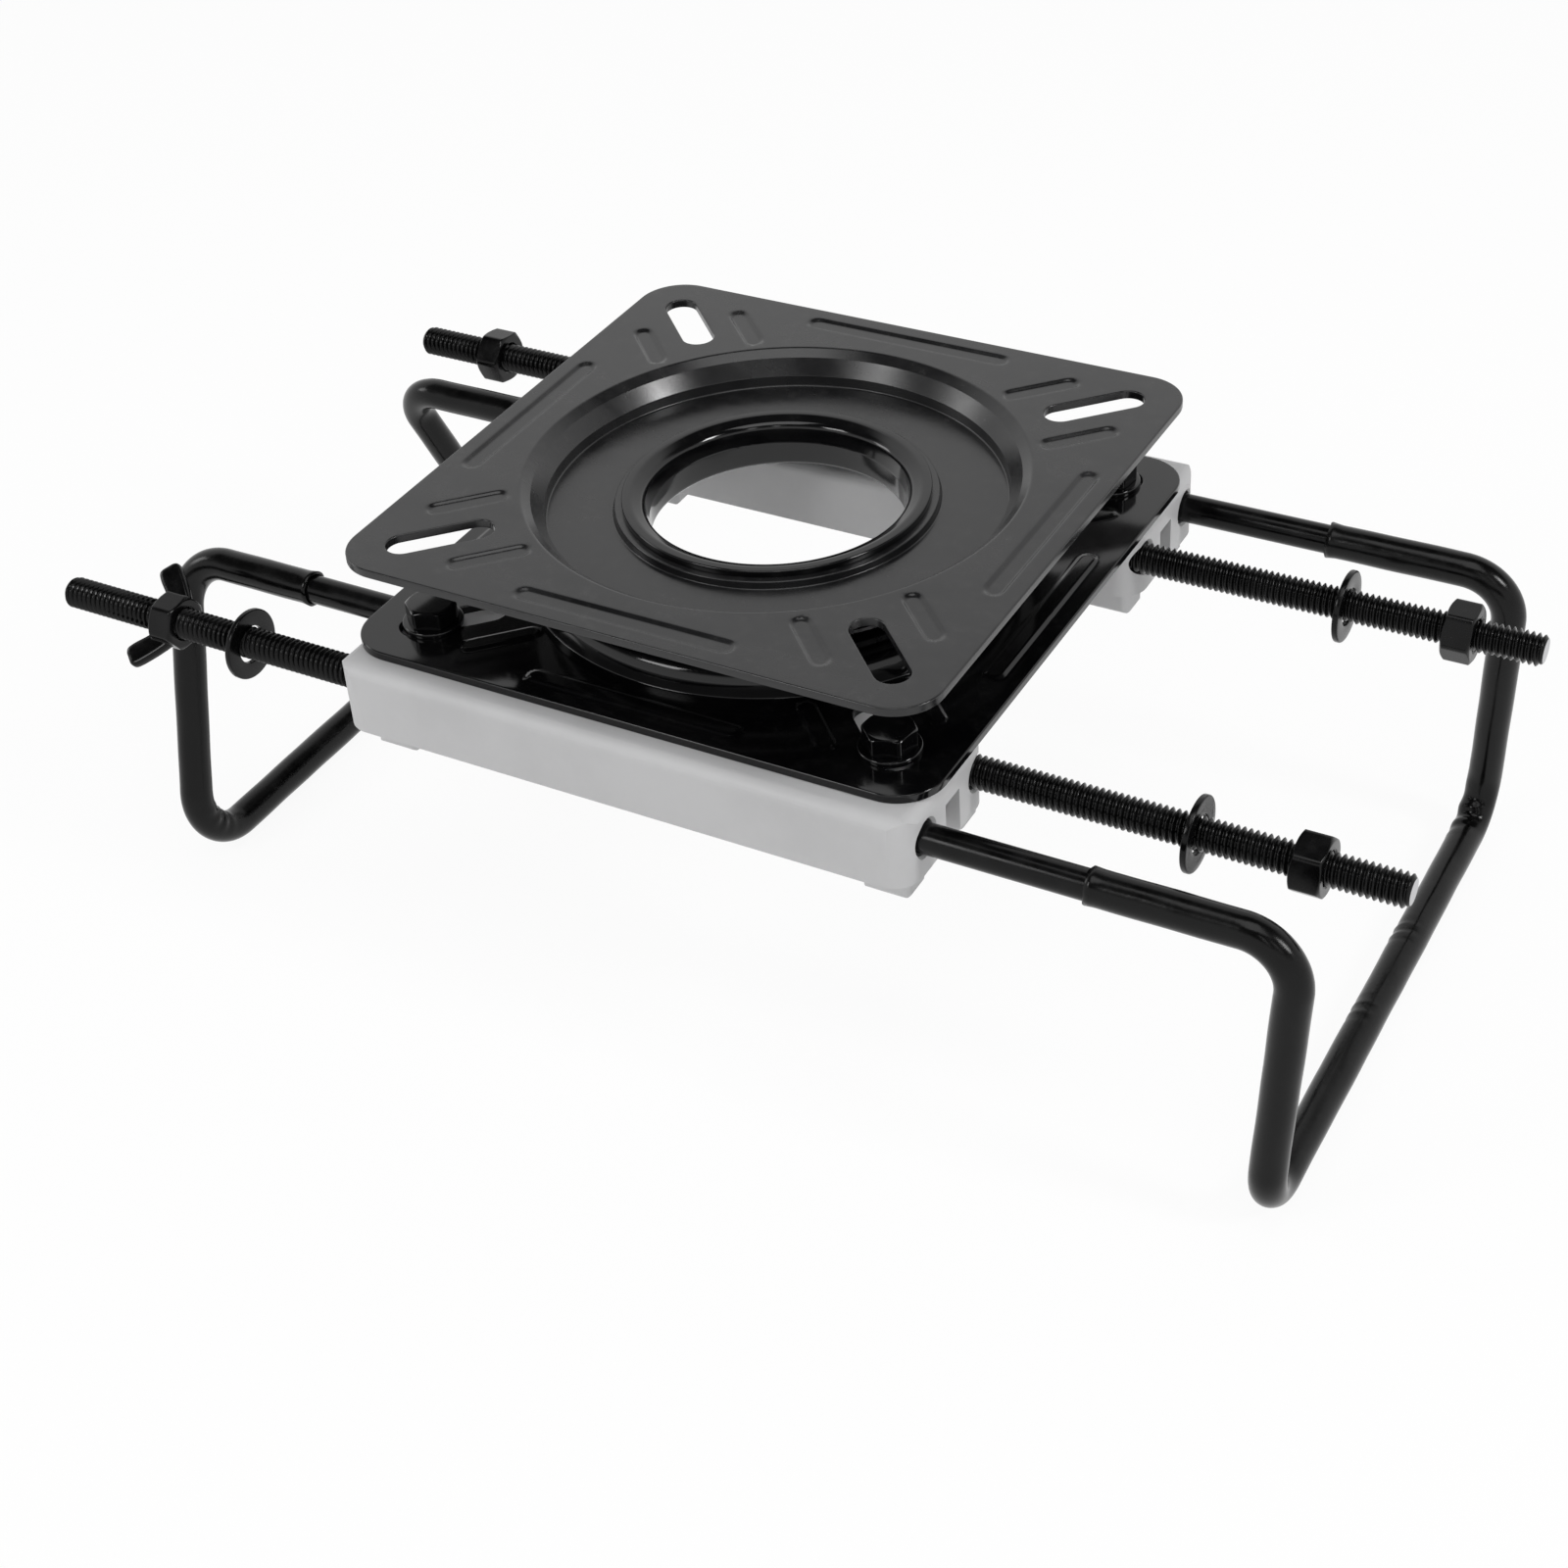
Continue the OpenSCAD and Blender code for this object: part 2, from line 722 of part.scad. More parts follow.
module left_hook() {
    color(rod_black)
        hook_rod(-1, left_reach, narrow_arm_y, left_lean, left_tip, 0);
}

module right_sleeve() {
    color(vinyl_black)
        bent_piece(hook_path(1, right_reach, wide_arm_y, right_lean, right_sleeve_start, 0),
            sleeve_d, rod_d + 2 * sleeve_clear);
}

module left_sleeve() {
    color(vinyl_black)
        bent_piece(hook_path(-1, left_reach, narrow_arm_y, left_lean, left_sleeve_start, 0),
            sleeve_d, rod_d + 2 * sleeve_clear);
}

// Puts its children on an arm, at a distance from the bars' end. Their z axis
// points away from the bars.
module on_arm(side, y, away) {
    translate([side * (bar_l / 2 + away), y, rod_z])
        rotate([0, side * 90, 0])
            children();
}

module thread_hole(h, clear) {
    translate([0, 0, -over])
        cylinder(h = h + 2 * over, r = thread_d / 2 + clear);
}

module clamp_nut() {
    color(rod_black)
        difference() {
            intersection() {
                hex_block(nut_flats, nut_h);
                translate([0, 0, nut_h])
                    mirror([0, 0, 1])
                        hex_block(nut_flats, nut_h);
            }
            thread_hole(nut_h, nut_clear);
        }
}

// Washer that hangs on the thread, so its middle is below the rod's axis
module clamp_washer(side) {
    color(rod_black)
        translate([side * washer_hang, 0, 0])
            difference() {
                cylinder(h = washer_t, r = washer_d / 2);
                thread_hole(washer_t, washer_clear);
            }
}

// Outline of one wing from the rod's axis to its round end, x outwards and y up
module wing_outline() {
    rise = wing_end_h - wing_body_h / 2;
    run = norm([wing_end_r, rise]);
    translate([0, wing_body_h / 2])
        rotate(atan2(rise, wing_end_r)) {
            translate([0, -wing_w / 2])
                square([run, wing_w]);
            translate([run, 0])
                circle(wing_w / 2);
        }
}

module wing_nut() {
    color(rod_black)
        on_arm(-1, -wide_arm_y, wing_fl)
            difference() {
                rotate([0, 0, 90 - wing_turn]) {
                    translate([0, 0, wing_body_h])
                        mirror([0, 0, 1])
                            hex_block(wing_flats, wing_body_h);
                    for (a = [0, 180])
                        rotate([90, 0, a])
                            linear_extrude(wing_t, center = true)
                                wing_outline();
                }
                thread_hole(2 * wing_end_h, nut_clear);
            }
}

module nut_rear_left() {
    on_arm(-1, wide_arm_y, nut_rl)
        clamp_nut();
}

module nut_front_right() {
    on_arm(1, -narrow_arm_y, nut_fr)
        clamp_nut();
}

module nut_rear_right() {
    on_arm(1, narrow_arm_y, nut_rr)
        clamp_nut();
}

module washer_front_left() {
    on_arm(-1, -wide_arm_y, washer_fl * wing_fl)
        clamp_washer(-1);
}

module washer_rear_left() {
    on_arm(-1, wide_arm_y, washer_rl * nut_rl)
        clamp_washer(-1);
}

module washer_front_right() {
    on_arm(1, -narrow_arm_y, washer_fr * nut_fr)
        clamp_washer(1);
}

module washer_rear_right() {
    on_arm(1, narrow_arm_y, washer_rr * nut_rr)
        clamp_washer(1);
}

top_plate();
centre_ring();
ball_cage();
bearing_balls();
lower_plate();
front_bar();
rear_bar();
plate_bolts();
bolt_washers();
bolt_nuts();
right_hook();
left_hook();
right_sleeve();
left_sleeve();
wing_nut();
nut_rear_left();
nut_front_right();
nut_rear_right();
washer_front_left();
washer_rear_left();
washer_front_right();
washer_rear_right();
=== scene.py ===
import math

import bmesh
import bpy
import numpy as np
from mathutils import Matrix, Vector
from mathutils.geometry import delaunay_2d_cdt


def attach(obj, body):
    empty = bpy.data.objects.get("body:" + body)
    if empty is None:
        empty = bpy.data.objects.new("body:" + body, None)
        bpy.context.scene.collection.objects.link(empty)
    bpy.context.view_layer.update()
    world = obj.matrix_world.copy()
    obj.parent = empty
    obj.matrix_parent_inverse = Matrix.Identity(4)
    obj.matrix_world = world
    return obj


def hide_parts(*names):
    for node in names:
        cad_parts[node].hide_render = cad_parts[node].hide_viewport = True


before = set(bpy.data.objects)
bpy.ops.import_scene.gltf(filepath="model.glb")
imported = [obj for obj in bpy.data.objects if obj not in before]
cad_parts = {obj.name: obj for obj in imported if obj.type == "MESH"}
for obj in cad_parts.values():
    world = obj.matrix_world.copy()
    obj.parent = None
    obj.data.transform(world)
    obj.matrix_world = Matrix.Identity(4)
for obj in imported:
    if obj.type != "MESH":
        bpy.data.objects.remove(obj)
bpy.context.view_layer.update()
mm = 0.001
tau = 2 * math.pi
print("frame loaded,", len(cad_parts), "nodes")

# Heights and places that several pieces share, in millimetres
seatBase = {
    "topFace": 56.16, "lowFace": 29.5, "boltFromAxis": 70.65, "rodHeight": 17.0, "barEnd": 88.0, "floor": -73.8,
}


# Shapes are worked out in millimetres and scaled once, when the object is made

def linkedObject(name, data):
    thing = bpy.data.objects.new(name, data)
    bpy.context.scene.collection.objects.link(thing)
    return thing


def newObject(name, verts, faces, materials, smooth=True):
    mesh = bpy.data.meshes.new(name)
    mesh.from_pydata((np.asarray(verts, float) * mm).tolist(), [], faces)
    for material in materials:
        mesh.materials.append(material)
    mesh.polygons.foreach_set("use_smooth", [smooth] * len(mesh.polygons))
    mesh.update()
    return linkedObject(name, mesh)


def tidyMesh(piece, distance=0.003):
    bm = bmesh.new()
    bm.from_mesh(piece.data)
    bmesh.ops.remove_doubles(bm, verts=bm.verts, dist=distance * mm)
    bmesh.ops.dissolve_degenerate(bm, edges=bm.edges, dist=distance * mm * 0.1)
    bmesh.ops.recalc_face_normals(bm, faces=bm.faces)
    bm.to_mesh(piece.data)
    bm.free()


def applyModifiers(piece):
    graph = bpy.context.evaluated_depsgraph_get()
    mesh = bpy.data.meshes.new_from_object(piece.evaluated_get(graph), depsgraph=graph)
    piece.modifiers.clear()
    piece.data = mesh


def onlyFinish(data, finish):
    data.materials.clear()
    data.materials.append(finish)


def evenNormals(piece):
    normals = piece.modifiers.new("evenNormals", "WEIGHTED_NORMAL")
    normals.keep_sharp = True


def standFor(piece, body, slot, *nodes):
    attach(piece, body)
    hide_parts(*nodes)


# Node trees

def newTree(kind, name, inputs, outputs):
    tree = bpy.data.node_groups.new(name, kind)
    for label, socketType, value in inputs:
        socket = tree.interface.new_socket(label, in_out="INPUT", socket_type="NodeSocket" + socketType)
        if value is not None:
            socket.default_value = value
    for label, socketType in outputs:
        tree.interface.new_socket(label, in_out="OUTPUT", socket_type="NodeSocket" + socketType)
    start, end = tree.nodes.new("NodeGroupInput"), tree.nodes.new("NodeGroupOutput")
    return tree, start.outputs, end.inputs


def feed(tree, socket, value):
    if isinstance(value, bpy.types.NodeSocket):
        tree.links.new(value, socket)
    elif value is not None:
        socket.default_value = value


def addNode(tree, kind, sockets=None, **settings):
    node = tree.nodes.new(kind)
    for label, value in settings.items():
        setattr(node, label, value)
    for key, value in (sockets or {}).items():
        feed(tree, node.inputs[key], value)
    return node


def mathNode(tree, operation, *values, clamp=False):
    sockets = dict(enumerate(values))
    return addNode(tree, "ShaderNodeMath", sockets, operation=operation, use_clamp=clamp).outputs[0]


def mapRange(tree, value, low, high, toLow=0.0, toHigh=1.0, kind="SMOOTHSTEP"):
    sockets = {"Value": value, "From Min": low, "From Max": high, "To Min": toLow, "To Max": toHigh}
    return addNode(tree, "ShaderNodeMapRange", sockets, interpolation_type=kind).outputs["Result"]


def noiseNode(tree, vector, scale, detail, roughness):
    sockets = {"Vector": vector, "Scale": scale, "Detail": detail, "Roughness": roughness}
    return addNode(tree, "ShaderNodeTexNoise", sockets).outputs[0]


# Detail and roughness of each noise, and the values between which a mask goes from none to full
surfaceNoise = {
    "fine": (3.0, 0.6), "patch": (5.0, 0.6), "chips": (4.0, 0.55), "specks": (8.0, 0.7),
    "patchSpan": (0.32, 0.68), "edgeSpan": (0.985, 0.85), "chipSpan": (0.42, 0.62),
    "levelSpan": (0.2, 0.95), "speckSpan": (0.5, 0.78), "bevelSamples": 6,
}


def buildGrain(look):
    tree, given, end = newTree(
        "ShaderNodeTree", "surfaceGrain",
        [("Vector", "Vector", None), ("Fine Scale", "Float", 900.0), ("Patch Scale", "Float", 40.0),
         ("Stretch", "Vector", (1, 1, 1))],
        [("Height", "Float"), ("Patch", "Float")])
    both = {0: given["Vector"], 1: given["Stretch"]}
    scaled = addNode(tree, "ShaderNodeVectorMath", both, operation="MULTIPLY").outputs[0]
    patch = noiseNode(tree, scaled, given["Patch Scale"], *look["patch"])
    feed(tree, end["Height"], noiseNode(tree, given["Vector"], given["Fine Scale"], *look["fine"]))
    feed(tree, end["Patch"], mapRange(tree, patch, *look["patchSpan"]))
    return tree


def maskFrom(tree, given, end, where, broken):
    mask = mathNode(tree, "MULTIPLY", where, broken)
    feed(tree, end["Mask"], mathNode(tree, "MULTIPLY", mask, given["Amount"], clamp=True))
    return tree


def buildEdgeWear(look):
    tree, given, end = newTree(
        "ShaderNodeTree", "edgeWear",
        [("Vector", "Vector", None), ("Radius", "Float", 0.0006), ("Scale", "Float", 300.0),
         ("Amount", "Float", 0.5)],
        [("Mask", "Float")])
    bevel = addNode(tree, "ShaderNodeBevel", {"Radius": given["Radius"]}, samples=look["bevelSamples"])
    both = {0: bevel.outputs["Normal"], 1: addNode(tree, "ShaderNodeNewGeometry").outputs["Normal"]}
    dot = addNode(tree, "ShaderNodeVectorMath", both, operation="DOT_PRODUCT")
    edge = mapRange(tree, dot.outputs["Value"], *look["edgeSpan"])
    chips = noiseNode(tree, given["Vector"], given["Scale"], *look["chips"])
    return maskFrom(tree, given, end, edge, mapRange(tree, chips, *look["chipSpan"]))


def buildDust(look):
    tree, given, end = newTree(
        "ShaderNodeTree", "restingDust",
        [("Vector", "Vector", None), ("Scale", "Float", 200.0), ("Amount", "Float", 0.3)],
        [("Mask", "Float")])
    normal = addNode(tree, "ShaderNodeNewGeometry").outputs["Normal"]
    upward = addNode(tree, "ShaderNodeSeparateXYZ", {0: normal}).outputs["Z"]
    specks = noiseNode(tree, given["Vector"], given["Scale"], *look["specks"])
    level = mapRange(tree, upward, *look["levelSpan"])
    return maskFrom(tree, given, end, level, mapRange(tree, specks, *look["speckSpan"]))


grainGroup, wearGroup, dustGroup = (build(surfaceNoise) for build in (buildGrain, buildEdgeWear, buildDust))


def mixColour(tree, factor, first, second):
    node = addNode(tree, "ShaderNodeMix", {"Factor": factor}, data_type="RGBA")
    sockets = [s for s in node.inputs if s.type == "RGBA"]
    for socket, value in zip(sockets, (first, second)):
        feed(tree, socket, value if isinstance(value, bpy.types.NodeSocket) else (*value, 1.0))
    return [s for s in node.outputs if s.type == "RGBA"][0]


# What a finish has unless it says otherwise
plainLook = {
    "stretch": (1, 1, 1), "wearRadius": 0.0006, "wearScale": 350.0, "dustScale": 260.0,
    "dustColour": (0.3, 0.29, 0.28), "dustRough": 0.3, "bumpHeight": 0.0001, "specular": 0.5, "metal": 0.0,
}


def newFinish(name, ownLook):
    look = {**plainLook, **ownLook}
    material = bpy.data.materials.new(name)
    material.use_nodes = True
    tree = material.node_tree
    place = addNode(tree, "ShaderNodeTexCoord").outputs["Object"]
    grain = addNode(tree, "ShaderNodeGroup", {
        "Vector": place, "Fine Scale": look["grainScale"], "Patch Scale": look["patchScale"],
        "Stretch": look["stretch"]}, node_tree=grainGroup).outputs
    wear = addNode(tree, "ShaderNodeGroup", {
        "Vector": place, "Radius": look["wearRadius"], "Scale": look["wearScale"],
        "Amount": look["wear"]}, node_tree=wearGroup).outputs["Mask"]
    dust = addNode(tree, "ShaderNodeGroup", {
        "Vector": place, "Scale": look["dustScale"],
        "Amount": look["dust"]}, node_tree=dustGroup).outputs["Mask"]
    colour = mixColour(tree, grain["Patch"], look["dark"], look["light"])
    colour = mixColour(tree, wear, colour, look["worn"])
    colour = mixColour(tree, dust, colour, look["dustColour"])
    rough = mapRange(tree, grain["Patch"], 0.0, 1.0, *look["rough"], "LINEAR")
    rough = mathNode(tree, "ADD", rough, mathNode(tree, "MULTIPLY", dust, look["dustRough"]), clamp=True)
    bump = addNode(tree, "ShaderNodeBump", {
        "Strength": look["bump"], "Distance": look["bumpHeight"], "Height": grain["Height"]})
    shader = tree.nodes["Principled BSDF"]
    given = {"Specular IOR Level": look["specular"], "Metallic": look["metal"], "Base Color": colour,
             "Roughness": rough, "Normal": bump.outputs["Normal"]}
    for label, value in given.items():
        feed(tree, shader.inputs[label], value)
    return material


finishLooks = {
    "platePaint": {
        "dark": (0.005, 0.005, 0.0055), "light": (0.013, 0.013, 0.0135), "worn": (0.05, 0.05, 0.052),
        "rough": (0.20, 0.29), "grainScale": 1500.0, "patchScale": 26.0, "stretch": (1.0, 2.6, 1.0),
        "bump": 0.07, "wear": 0.5, "dust": 0.05},
    "glossPaint": {
        "dark": (0.0015, 0.0015, 0.0018), "light": (0.0035, 0.0035, 0.0038), "worn": (0.04, 0.04, 0.042),
        "rough": (0.08, 0.13), "grainScale": 1200.0, "patchScale": 40.0,
        "bump": 0.02, "wear": 0.4, "dust": 0.02, "specular": 0.42},
    "barPlastic": {
        "dark": (0.46, 0.46, 0.465), "light": (0.50, 0.50, 0.505), "worn": (0.58, 0.58, 0.585),
        "rough": (0.42, 0.52), "grainScale": 2600.0, "patchScale": 30.0,
        "bump": 0.16, "wear": 0.25, "dust": 0.05, "dustColour": (0.36, 0.36, 0.36)},
    "rodBlack": {
        "dark": (0.0015, 0.0015, 0.0016), "light": (0.004, 0.004, 0.0042), "worn": (0.10, 0.10, 0.10),
        "rough": (0.14, 0.24), "grainScale": 1800.0, "patchScale": 120.0,
        "bump": 0.08, "wear": 0.25, "wearRadius": 0.0003, "dust": 0.02, "specular": 0.2},
    "sleeveVinyl": {
        "dark": (0.0015, 0.0015, 0.0015), "light": (0.003, 0.003, 0.003), "worn": (0.008, 0.008, 0.008),
        "rough": (0.15, 0.26), "grainScale": 700.0, "patchScale": 90.0,
        "bump": 0.14, "bumpHeight": 0.0002, "wear": 0.1, "dust": 0.02, "specular": 0.22},
    "bareSteel": {
        "dark": (0.42, 0.42, 0.43), "light": (0.56, 0.56, 0.57), "worn": (0.7, 0.7, 0.7),
        "rough": (0.24, 0.38), "grainScale": 1600.0, "patchScale": 160.0,
        "bump": 0.10, "wear": 0.2, "dust": 0.08, "metal": 1.0},
}
finishes = {name: newFinish(name, look) for name, look in finishLooks.items()}
print("finishes made:", ", ".join(finishes))


# Outlines and rings of points

def unit(angle):
    return np.array([math.cos(angle), math.sin(angle)])


def filletPath(corners, arcSteps, lineSteps):
    points = []
    last = len(corners) - 1
    for i, corner in enumerate(corners):
        here = np.array(corner[:2], float)
        radius = corner[2] if len(corner) > 2 else 0.0
        if radius <= 0 or i in (0, last):
            stretch = [here]
        else:
            before = np.array(corners[i - 1][:2], float) - here
            after = np.array(corners[i + 1][:2], float) - here
            before /= np.linalg.norm(before)
            after /= np.linalg.norm(after)
            half = math.acos(max(-1.0, min(1.0, float(before @ after)))) / 2
            centre = here + (before + after) / np.linalg.norm(before + after) * radius / math.sin(half)
            run = radius / math.tan(half)
            first, final = here + before * run - centre, here + after * run - centre
            a0, a1 = math.atan2(first[1], first[0]), math.atan2(final[1], final[0])
            turn = (a1 - a0 + math.pi) % tau - math.pi
            stretch = [centre + radius * unit(a0 + turn * k / arcSteps) for k in range(arcSteps + 1)]
        if points:
            gap = stretch[0] - points[-1]
            points += [points[-1] + gap * k / lineSteps for k in range(1, lineSteps)]
        points += stretch
    return np.array(points)


def circle(count):
    angles = np.arange(count) * tau / count
    return angles, np.cos(angles), np.sin(angles)


def turned(profile, count):
    _, c, s = circle(count)
    return [np.column_stack([r * c, r * s, np.full(count, z)]) for r, z in profile]


def ringFaces(ringCount, count, closed=False, first=0):
    faces = []
    for i in range(ringCount if closed else ringCount - 1):
        a, b = first + i * count, first + (i + 1) % ringCount * count
        faces += [(a + k, a + (k + 1) % count, b + (k + 1) % count, b + k) for k in range(count)]
    return faces


def addRings(verts, faces, rings):
    first, count = sum(len(v) for v in verts), len(rings[0])
    verts += rings
    faces += ringFaces(len(rings), count, False, first)
    return first, first + count * (len(rings) - 1)


def ringObject(name, rings, material, closed=True, sharp=None):
    count = len(rings[0])
    faces = ringFaces(len(rings), count, closed)
    if not closed:
        faces += [tuple(range(count)), tuple(range(count * (len(rings) - 1), count * len(rings)))]
    piece = newObject(name, np.vstack(rings), faces, [material])
    tidyMesh(piece)
    if sharp:
        piece.data.set_sharp_from_angle(angle=math.radians(sharp))
    return piece


# Pressed plates: a flat flange with beads, slots and rounded rims, and a dish turned about the axis

plateShape = {
    "width": 178.0, "cornerR": 13.5, "thick": 2.5, "joinR": 72.7, "joinCount": 240,
    "slotFromAxis": 66.75, "slotLength": 30.0, "slotWidth": 9.5,
    "longBead": 66.0, "longBeadAt": 81.0, "shortBead": 23.0, "shortBeadAt": 84.0, "shortBeadAside": 15.0,
    "beadDepth": 0.7, "beadFlat": 1.8, "beadHalf": 3.3, "beadEnd": 0.3, "rimR": 0.45, "burrR": 0.25,
    "beadLoops": (0.8, 1.4, 1.8, 2.1, 2.4, 2.7, 3.0, 3.3, 4.0), "beadStep": 1.3,  # the mesh around a bead
    "gridStep": 2.6, "gridEdge": 1.5, "gridClear": 4.9,
}


def roundSquare(half, radius, arcSteps, sideSteps):
    c = half - radius
    points = []
    for k in range(4):
        a0 = k * tau / 4
        arc = [np.array([c * (1, -1, -1, 1)[k], c * (1, 1, -1, -1)[k]]) + radius * unit(a0 + t)
               for t in np.linspace(0, tau / 4, arcSteps + 1)]
        points += arc
        nextStart = np.array([c * (-1, -1, 1, 1)[k], c * (1, -1, -1, 1)[k]]) + radius * unit(a0 + tau / 4)
        points += [arc[-1] + (nextStart - arc[-1]) * j / sideSteps for j in range(1, sideSteps)]
    return np.array(points)


def longHole(centre, angle, length, radius, arcSteps, sideSteps):
    half = length / 2
    points = []
    for side in (1, -1):
        start = -tau / 4 if side > 0 else tau / 4
        points += [(side * half + radius * math.cos(start + t), radius * math.sin(start + t))
                   for t in np.linspace(0, tau / 2, arcSteps + 1)]
        y = radius * side
        points += [(side * half - side * 2 * half * j / sideSteps, y) for j in range(1, sideSteps)]
    turn = np.array([[math.cos(angle), -math.sin(angle)], [math.sin(angle), math.cos(angle)]])
    return np.array(points) @ turn.T + np.array(centre)


def fromSegment(points, centre, angle, half):
    along = unit(angle)
    offset = points - np.array(centre)
    run = np.clip(offset @ along, -half, half)
    return np.linalg.norm(offset - run[:, None] * along, axis=1)


def fromBeads(points, beads):
    return np.min([fromSegment(points, *bead) for bead in beads], axis=0)


def plateFlange(shape):
    inset = shape["rimR"]
    slots, beads = [], []
    for k in range(4):
        a = math.radians(45 + 90 * k)
        out, side = unit(a), np.array([-math.sin(a), math.cos(a)])
        slotHalf = (shape["slotLength"] - shape["slotWidth"]) / 2
        slots.append((out * shape["slotFromAxis"] * math.sqrt(2), a, slotHalf))
        for s in (-1, 1):
            beads.append((out * shape["shortBeadAt"] + side * s * shape["shortBeadAside"], a,
                          shape["shortBead"] / 2 - shape["beadHalf"] + shape["beadEnd"]))
        b = math.radians(90 * k)
        beads.append((unit(b) * shape["longBeadAt"], b + tau / 4,
                      shape["longBead"] / 2 - shape["beadHalf"] + shape["beadEnd"]))
    loops = [roundSquare(shape["width"] / 2 - inset, shape["cornerR"] - inset, 16, 40)]
    loops.append(shape["joinR"] * np.column_stack(circle(shape["joinCount"])[1:]))
    slotR = shape["slotWidth"] / 2 + inset
    for centre, angle, half in slots:
        loops.append(longHole(centre, angle, 2 * half, slotR, 20, 12))
    points, edges, loopEnds = [], [], []
    for loop in loops:
        first = len(points)
        points += [tuple(p) for p in loop]
        edges += [(first + k, first + (k + 1) % len(loop)) for k in range(len(loop))]
        loopEnds.append((first, len(points)))
    free = []
    for centre, angle, half in beads:
        along, count = unit(angle), max(3, int(2 * half / shape["beadStep"]))
        free.append(np.array([np.array(centre) + along * t for t in np.linspace(-half, half, count)]))
        for offset in shape["beadLoops"]:
            free.append(longHole(centre, angle, 2 * half, offset, max(6, int(offset * math.pi)), count))
    edge = shape["width"] / 2 - shape["gridEdge"]
    span = np.arange(-edge, edge, shape["gridStep"])
    gx, gy = np.meshgrid(span, span)
    grid = np.column_stack([gx.ravel(), gy.ravel()])
    free.append(grid[fromBeads(grid, beads) > shape["gridClear"]])
    free = np.vstack(free)
    keep = insidePlate(free, shape, inset + 1.0, slots, slotR + 1.0, shape["joinR"] + 1.0)
    points += [tuple(p) for p in free[keep]]
    flat, _, faces, _, _, _ = delaunay_2d_cdt([Vector(p) for p in points], edges, [], 0, 1e-5, False)
    flat = np.array([tuple(p) for p in flat])
    faces = np.array([tuple(f) for f in faces])
    middle = flat[faces].mean(axis=1)
    faces = faces[insidePlate(middle, shape, inset, slots, slotR * 0.998, shape["joinR"] * 0.9999)]
    slopeWidth = shape["beadHalf"] - shape["beadFlat"]
    blend = np.clip((fromBeads(flat, beads) - shape["beadFlat"]) / slopeWidth, 0, 1)
    bead = 1 - blend * blend * (3 - 2 * blend)
    return flat, faces, bead, loops


def insidePlate(points, shape, inset, slots, slotR, joinR):
    half, radius = shape["width"] / 2 - inset, shape["cornerR"] - inset
    q = np.abs(points) - (half - radius)
    outside = np.linalg.norm(np.maximum(q, 0), axis=1) + np.minimum(q.max(axis=1), 0)
    keep = (outside < radius + 1e-4) & (np.linalg.norm(points, axis=1) > joinR)
    for centre, angle, slotHalf in slots:
        keep &= fromSegment(points, centre, angle, slotHalf) > slotR
    return keep


def rimSteps(shape):
    r, burr, thick = shape["rimR"], shape["burrR"], shape["thick"]
    steps = [(r * math.sin(t), -r * (1 - math.cos(t))) for t in np.linspace(0, tau / 4, 6)]
    steps += [(r, -thick * 0.5)]
    steps += [(r - burr * (1 - math.cos(t)), burr - thick - burr * math.sin(t))
              for t in np.linspace(0, tau / 4, 4)]
    steps += [(0.0, -thick)]
    return steps


def loopOutward(loop):
    step = np.roll(loop, -1, axis=0) - np.roll(loop, 1, axis=0)
    normal = np.column_stack([step[:, 1], -step[:, 0]])
    return normal / np.linalg.norm(normal, axis=1)[:, None]


def pressedPlate(name, shape, beadWay, upper, lower, face, material):
    flat, tris, bead, loops = plateFlange(shape)
    verts, faces = [], []
    lift = beadWay * shape["beadDepth"] * bead
    for drop, flip in ((0.0, False), (-shape["thick"], True)):
        first = sum(len(v) for v in verts)
        verts.append(np.column_stack([flat, lift + drop]))
        faces += [tuple((t[::-1] if flip else t) + first) for t in tris]
    for index, loop in enumerate(loops):
        if index == 1:
            continue
        way = loopOutward(loop) * (1 if index == 0 else -1)
        addRings(verts, faces, [np.column_stack([loop + way * out, np.full(len(loop), drop)])
                                for out, drop in rimSteps(shape)])
    addRings(verts, faces, turned(np.vstack([upper, lower[::-1]]), shape["joinCount"]))
    verts = np.vstack(verts)
    verts[:, 2] += face
    piece = newObject(name, verts, [tuple(int(v) for v in f) for f in faces], [material])
    tidyMesh(piece, 0.004)
    evenNormals(piece)
    return piece


topDish = {
    "upper": [(72.7, 0), (71.0, 0, 1.6), (68.3, -2.0, 0.4), (65.0, -6.4, 0.4), (64.8, -9.6, 0.5),
              (45.9, -9.6, 0.4), (45.4, -7.5, 0.4), (37.7, -7.5)],
    "lower": [(72.7, -2.5), (71.6, -2.5, 1.0), (67.2, -6.2, 2.0), (67.0, -13.1, 3.0), (42.9, -13.1, 1.2),
              (42.7, -10.0, 1.2), (37.7, -10.0)],
}
lowDish = {
    "upper": [(72.7, 0), (72.1, 0, 0.5), (71.2, 8.6, 5.5), (45.4, 8.6, 1.0), (45.2, 11.7, 1.2), (37.9, 11.7)],
    "lower": [(72.7, -2.5), (69.6, -2.5, 3.0), (68.7, 6.1, 3.0), (43.0, 6.1, 1.2), (42.8, 9.2, 1.2),
              (37.9, 9.2)],
}
topPlate = pressedPlate("topPlate", plateShape, -1, filletPath(topDish["upper"], 8, 3),
                        filletPath(topDish["lower"], 8, 3), seatBase["topFace"], finishes["platePaint"])
standFor(topPlate, "seat_plate", "plate_satin_black", "top_plate")
lowPlate = pressedPlate("lowerPlate", plateShape, 1, filletPath(lowDish["upper"], 8, 3),
                        filletPath(lowDish["lower"], 8, 3), seatBase["lowFace"], finishes["glossPaint"])
standFor(lowPlate, "base", "gloss_black", "lower_plate")
print("plates pressed,", len(topPlate.data.polygons), "faces each")

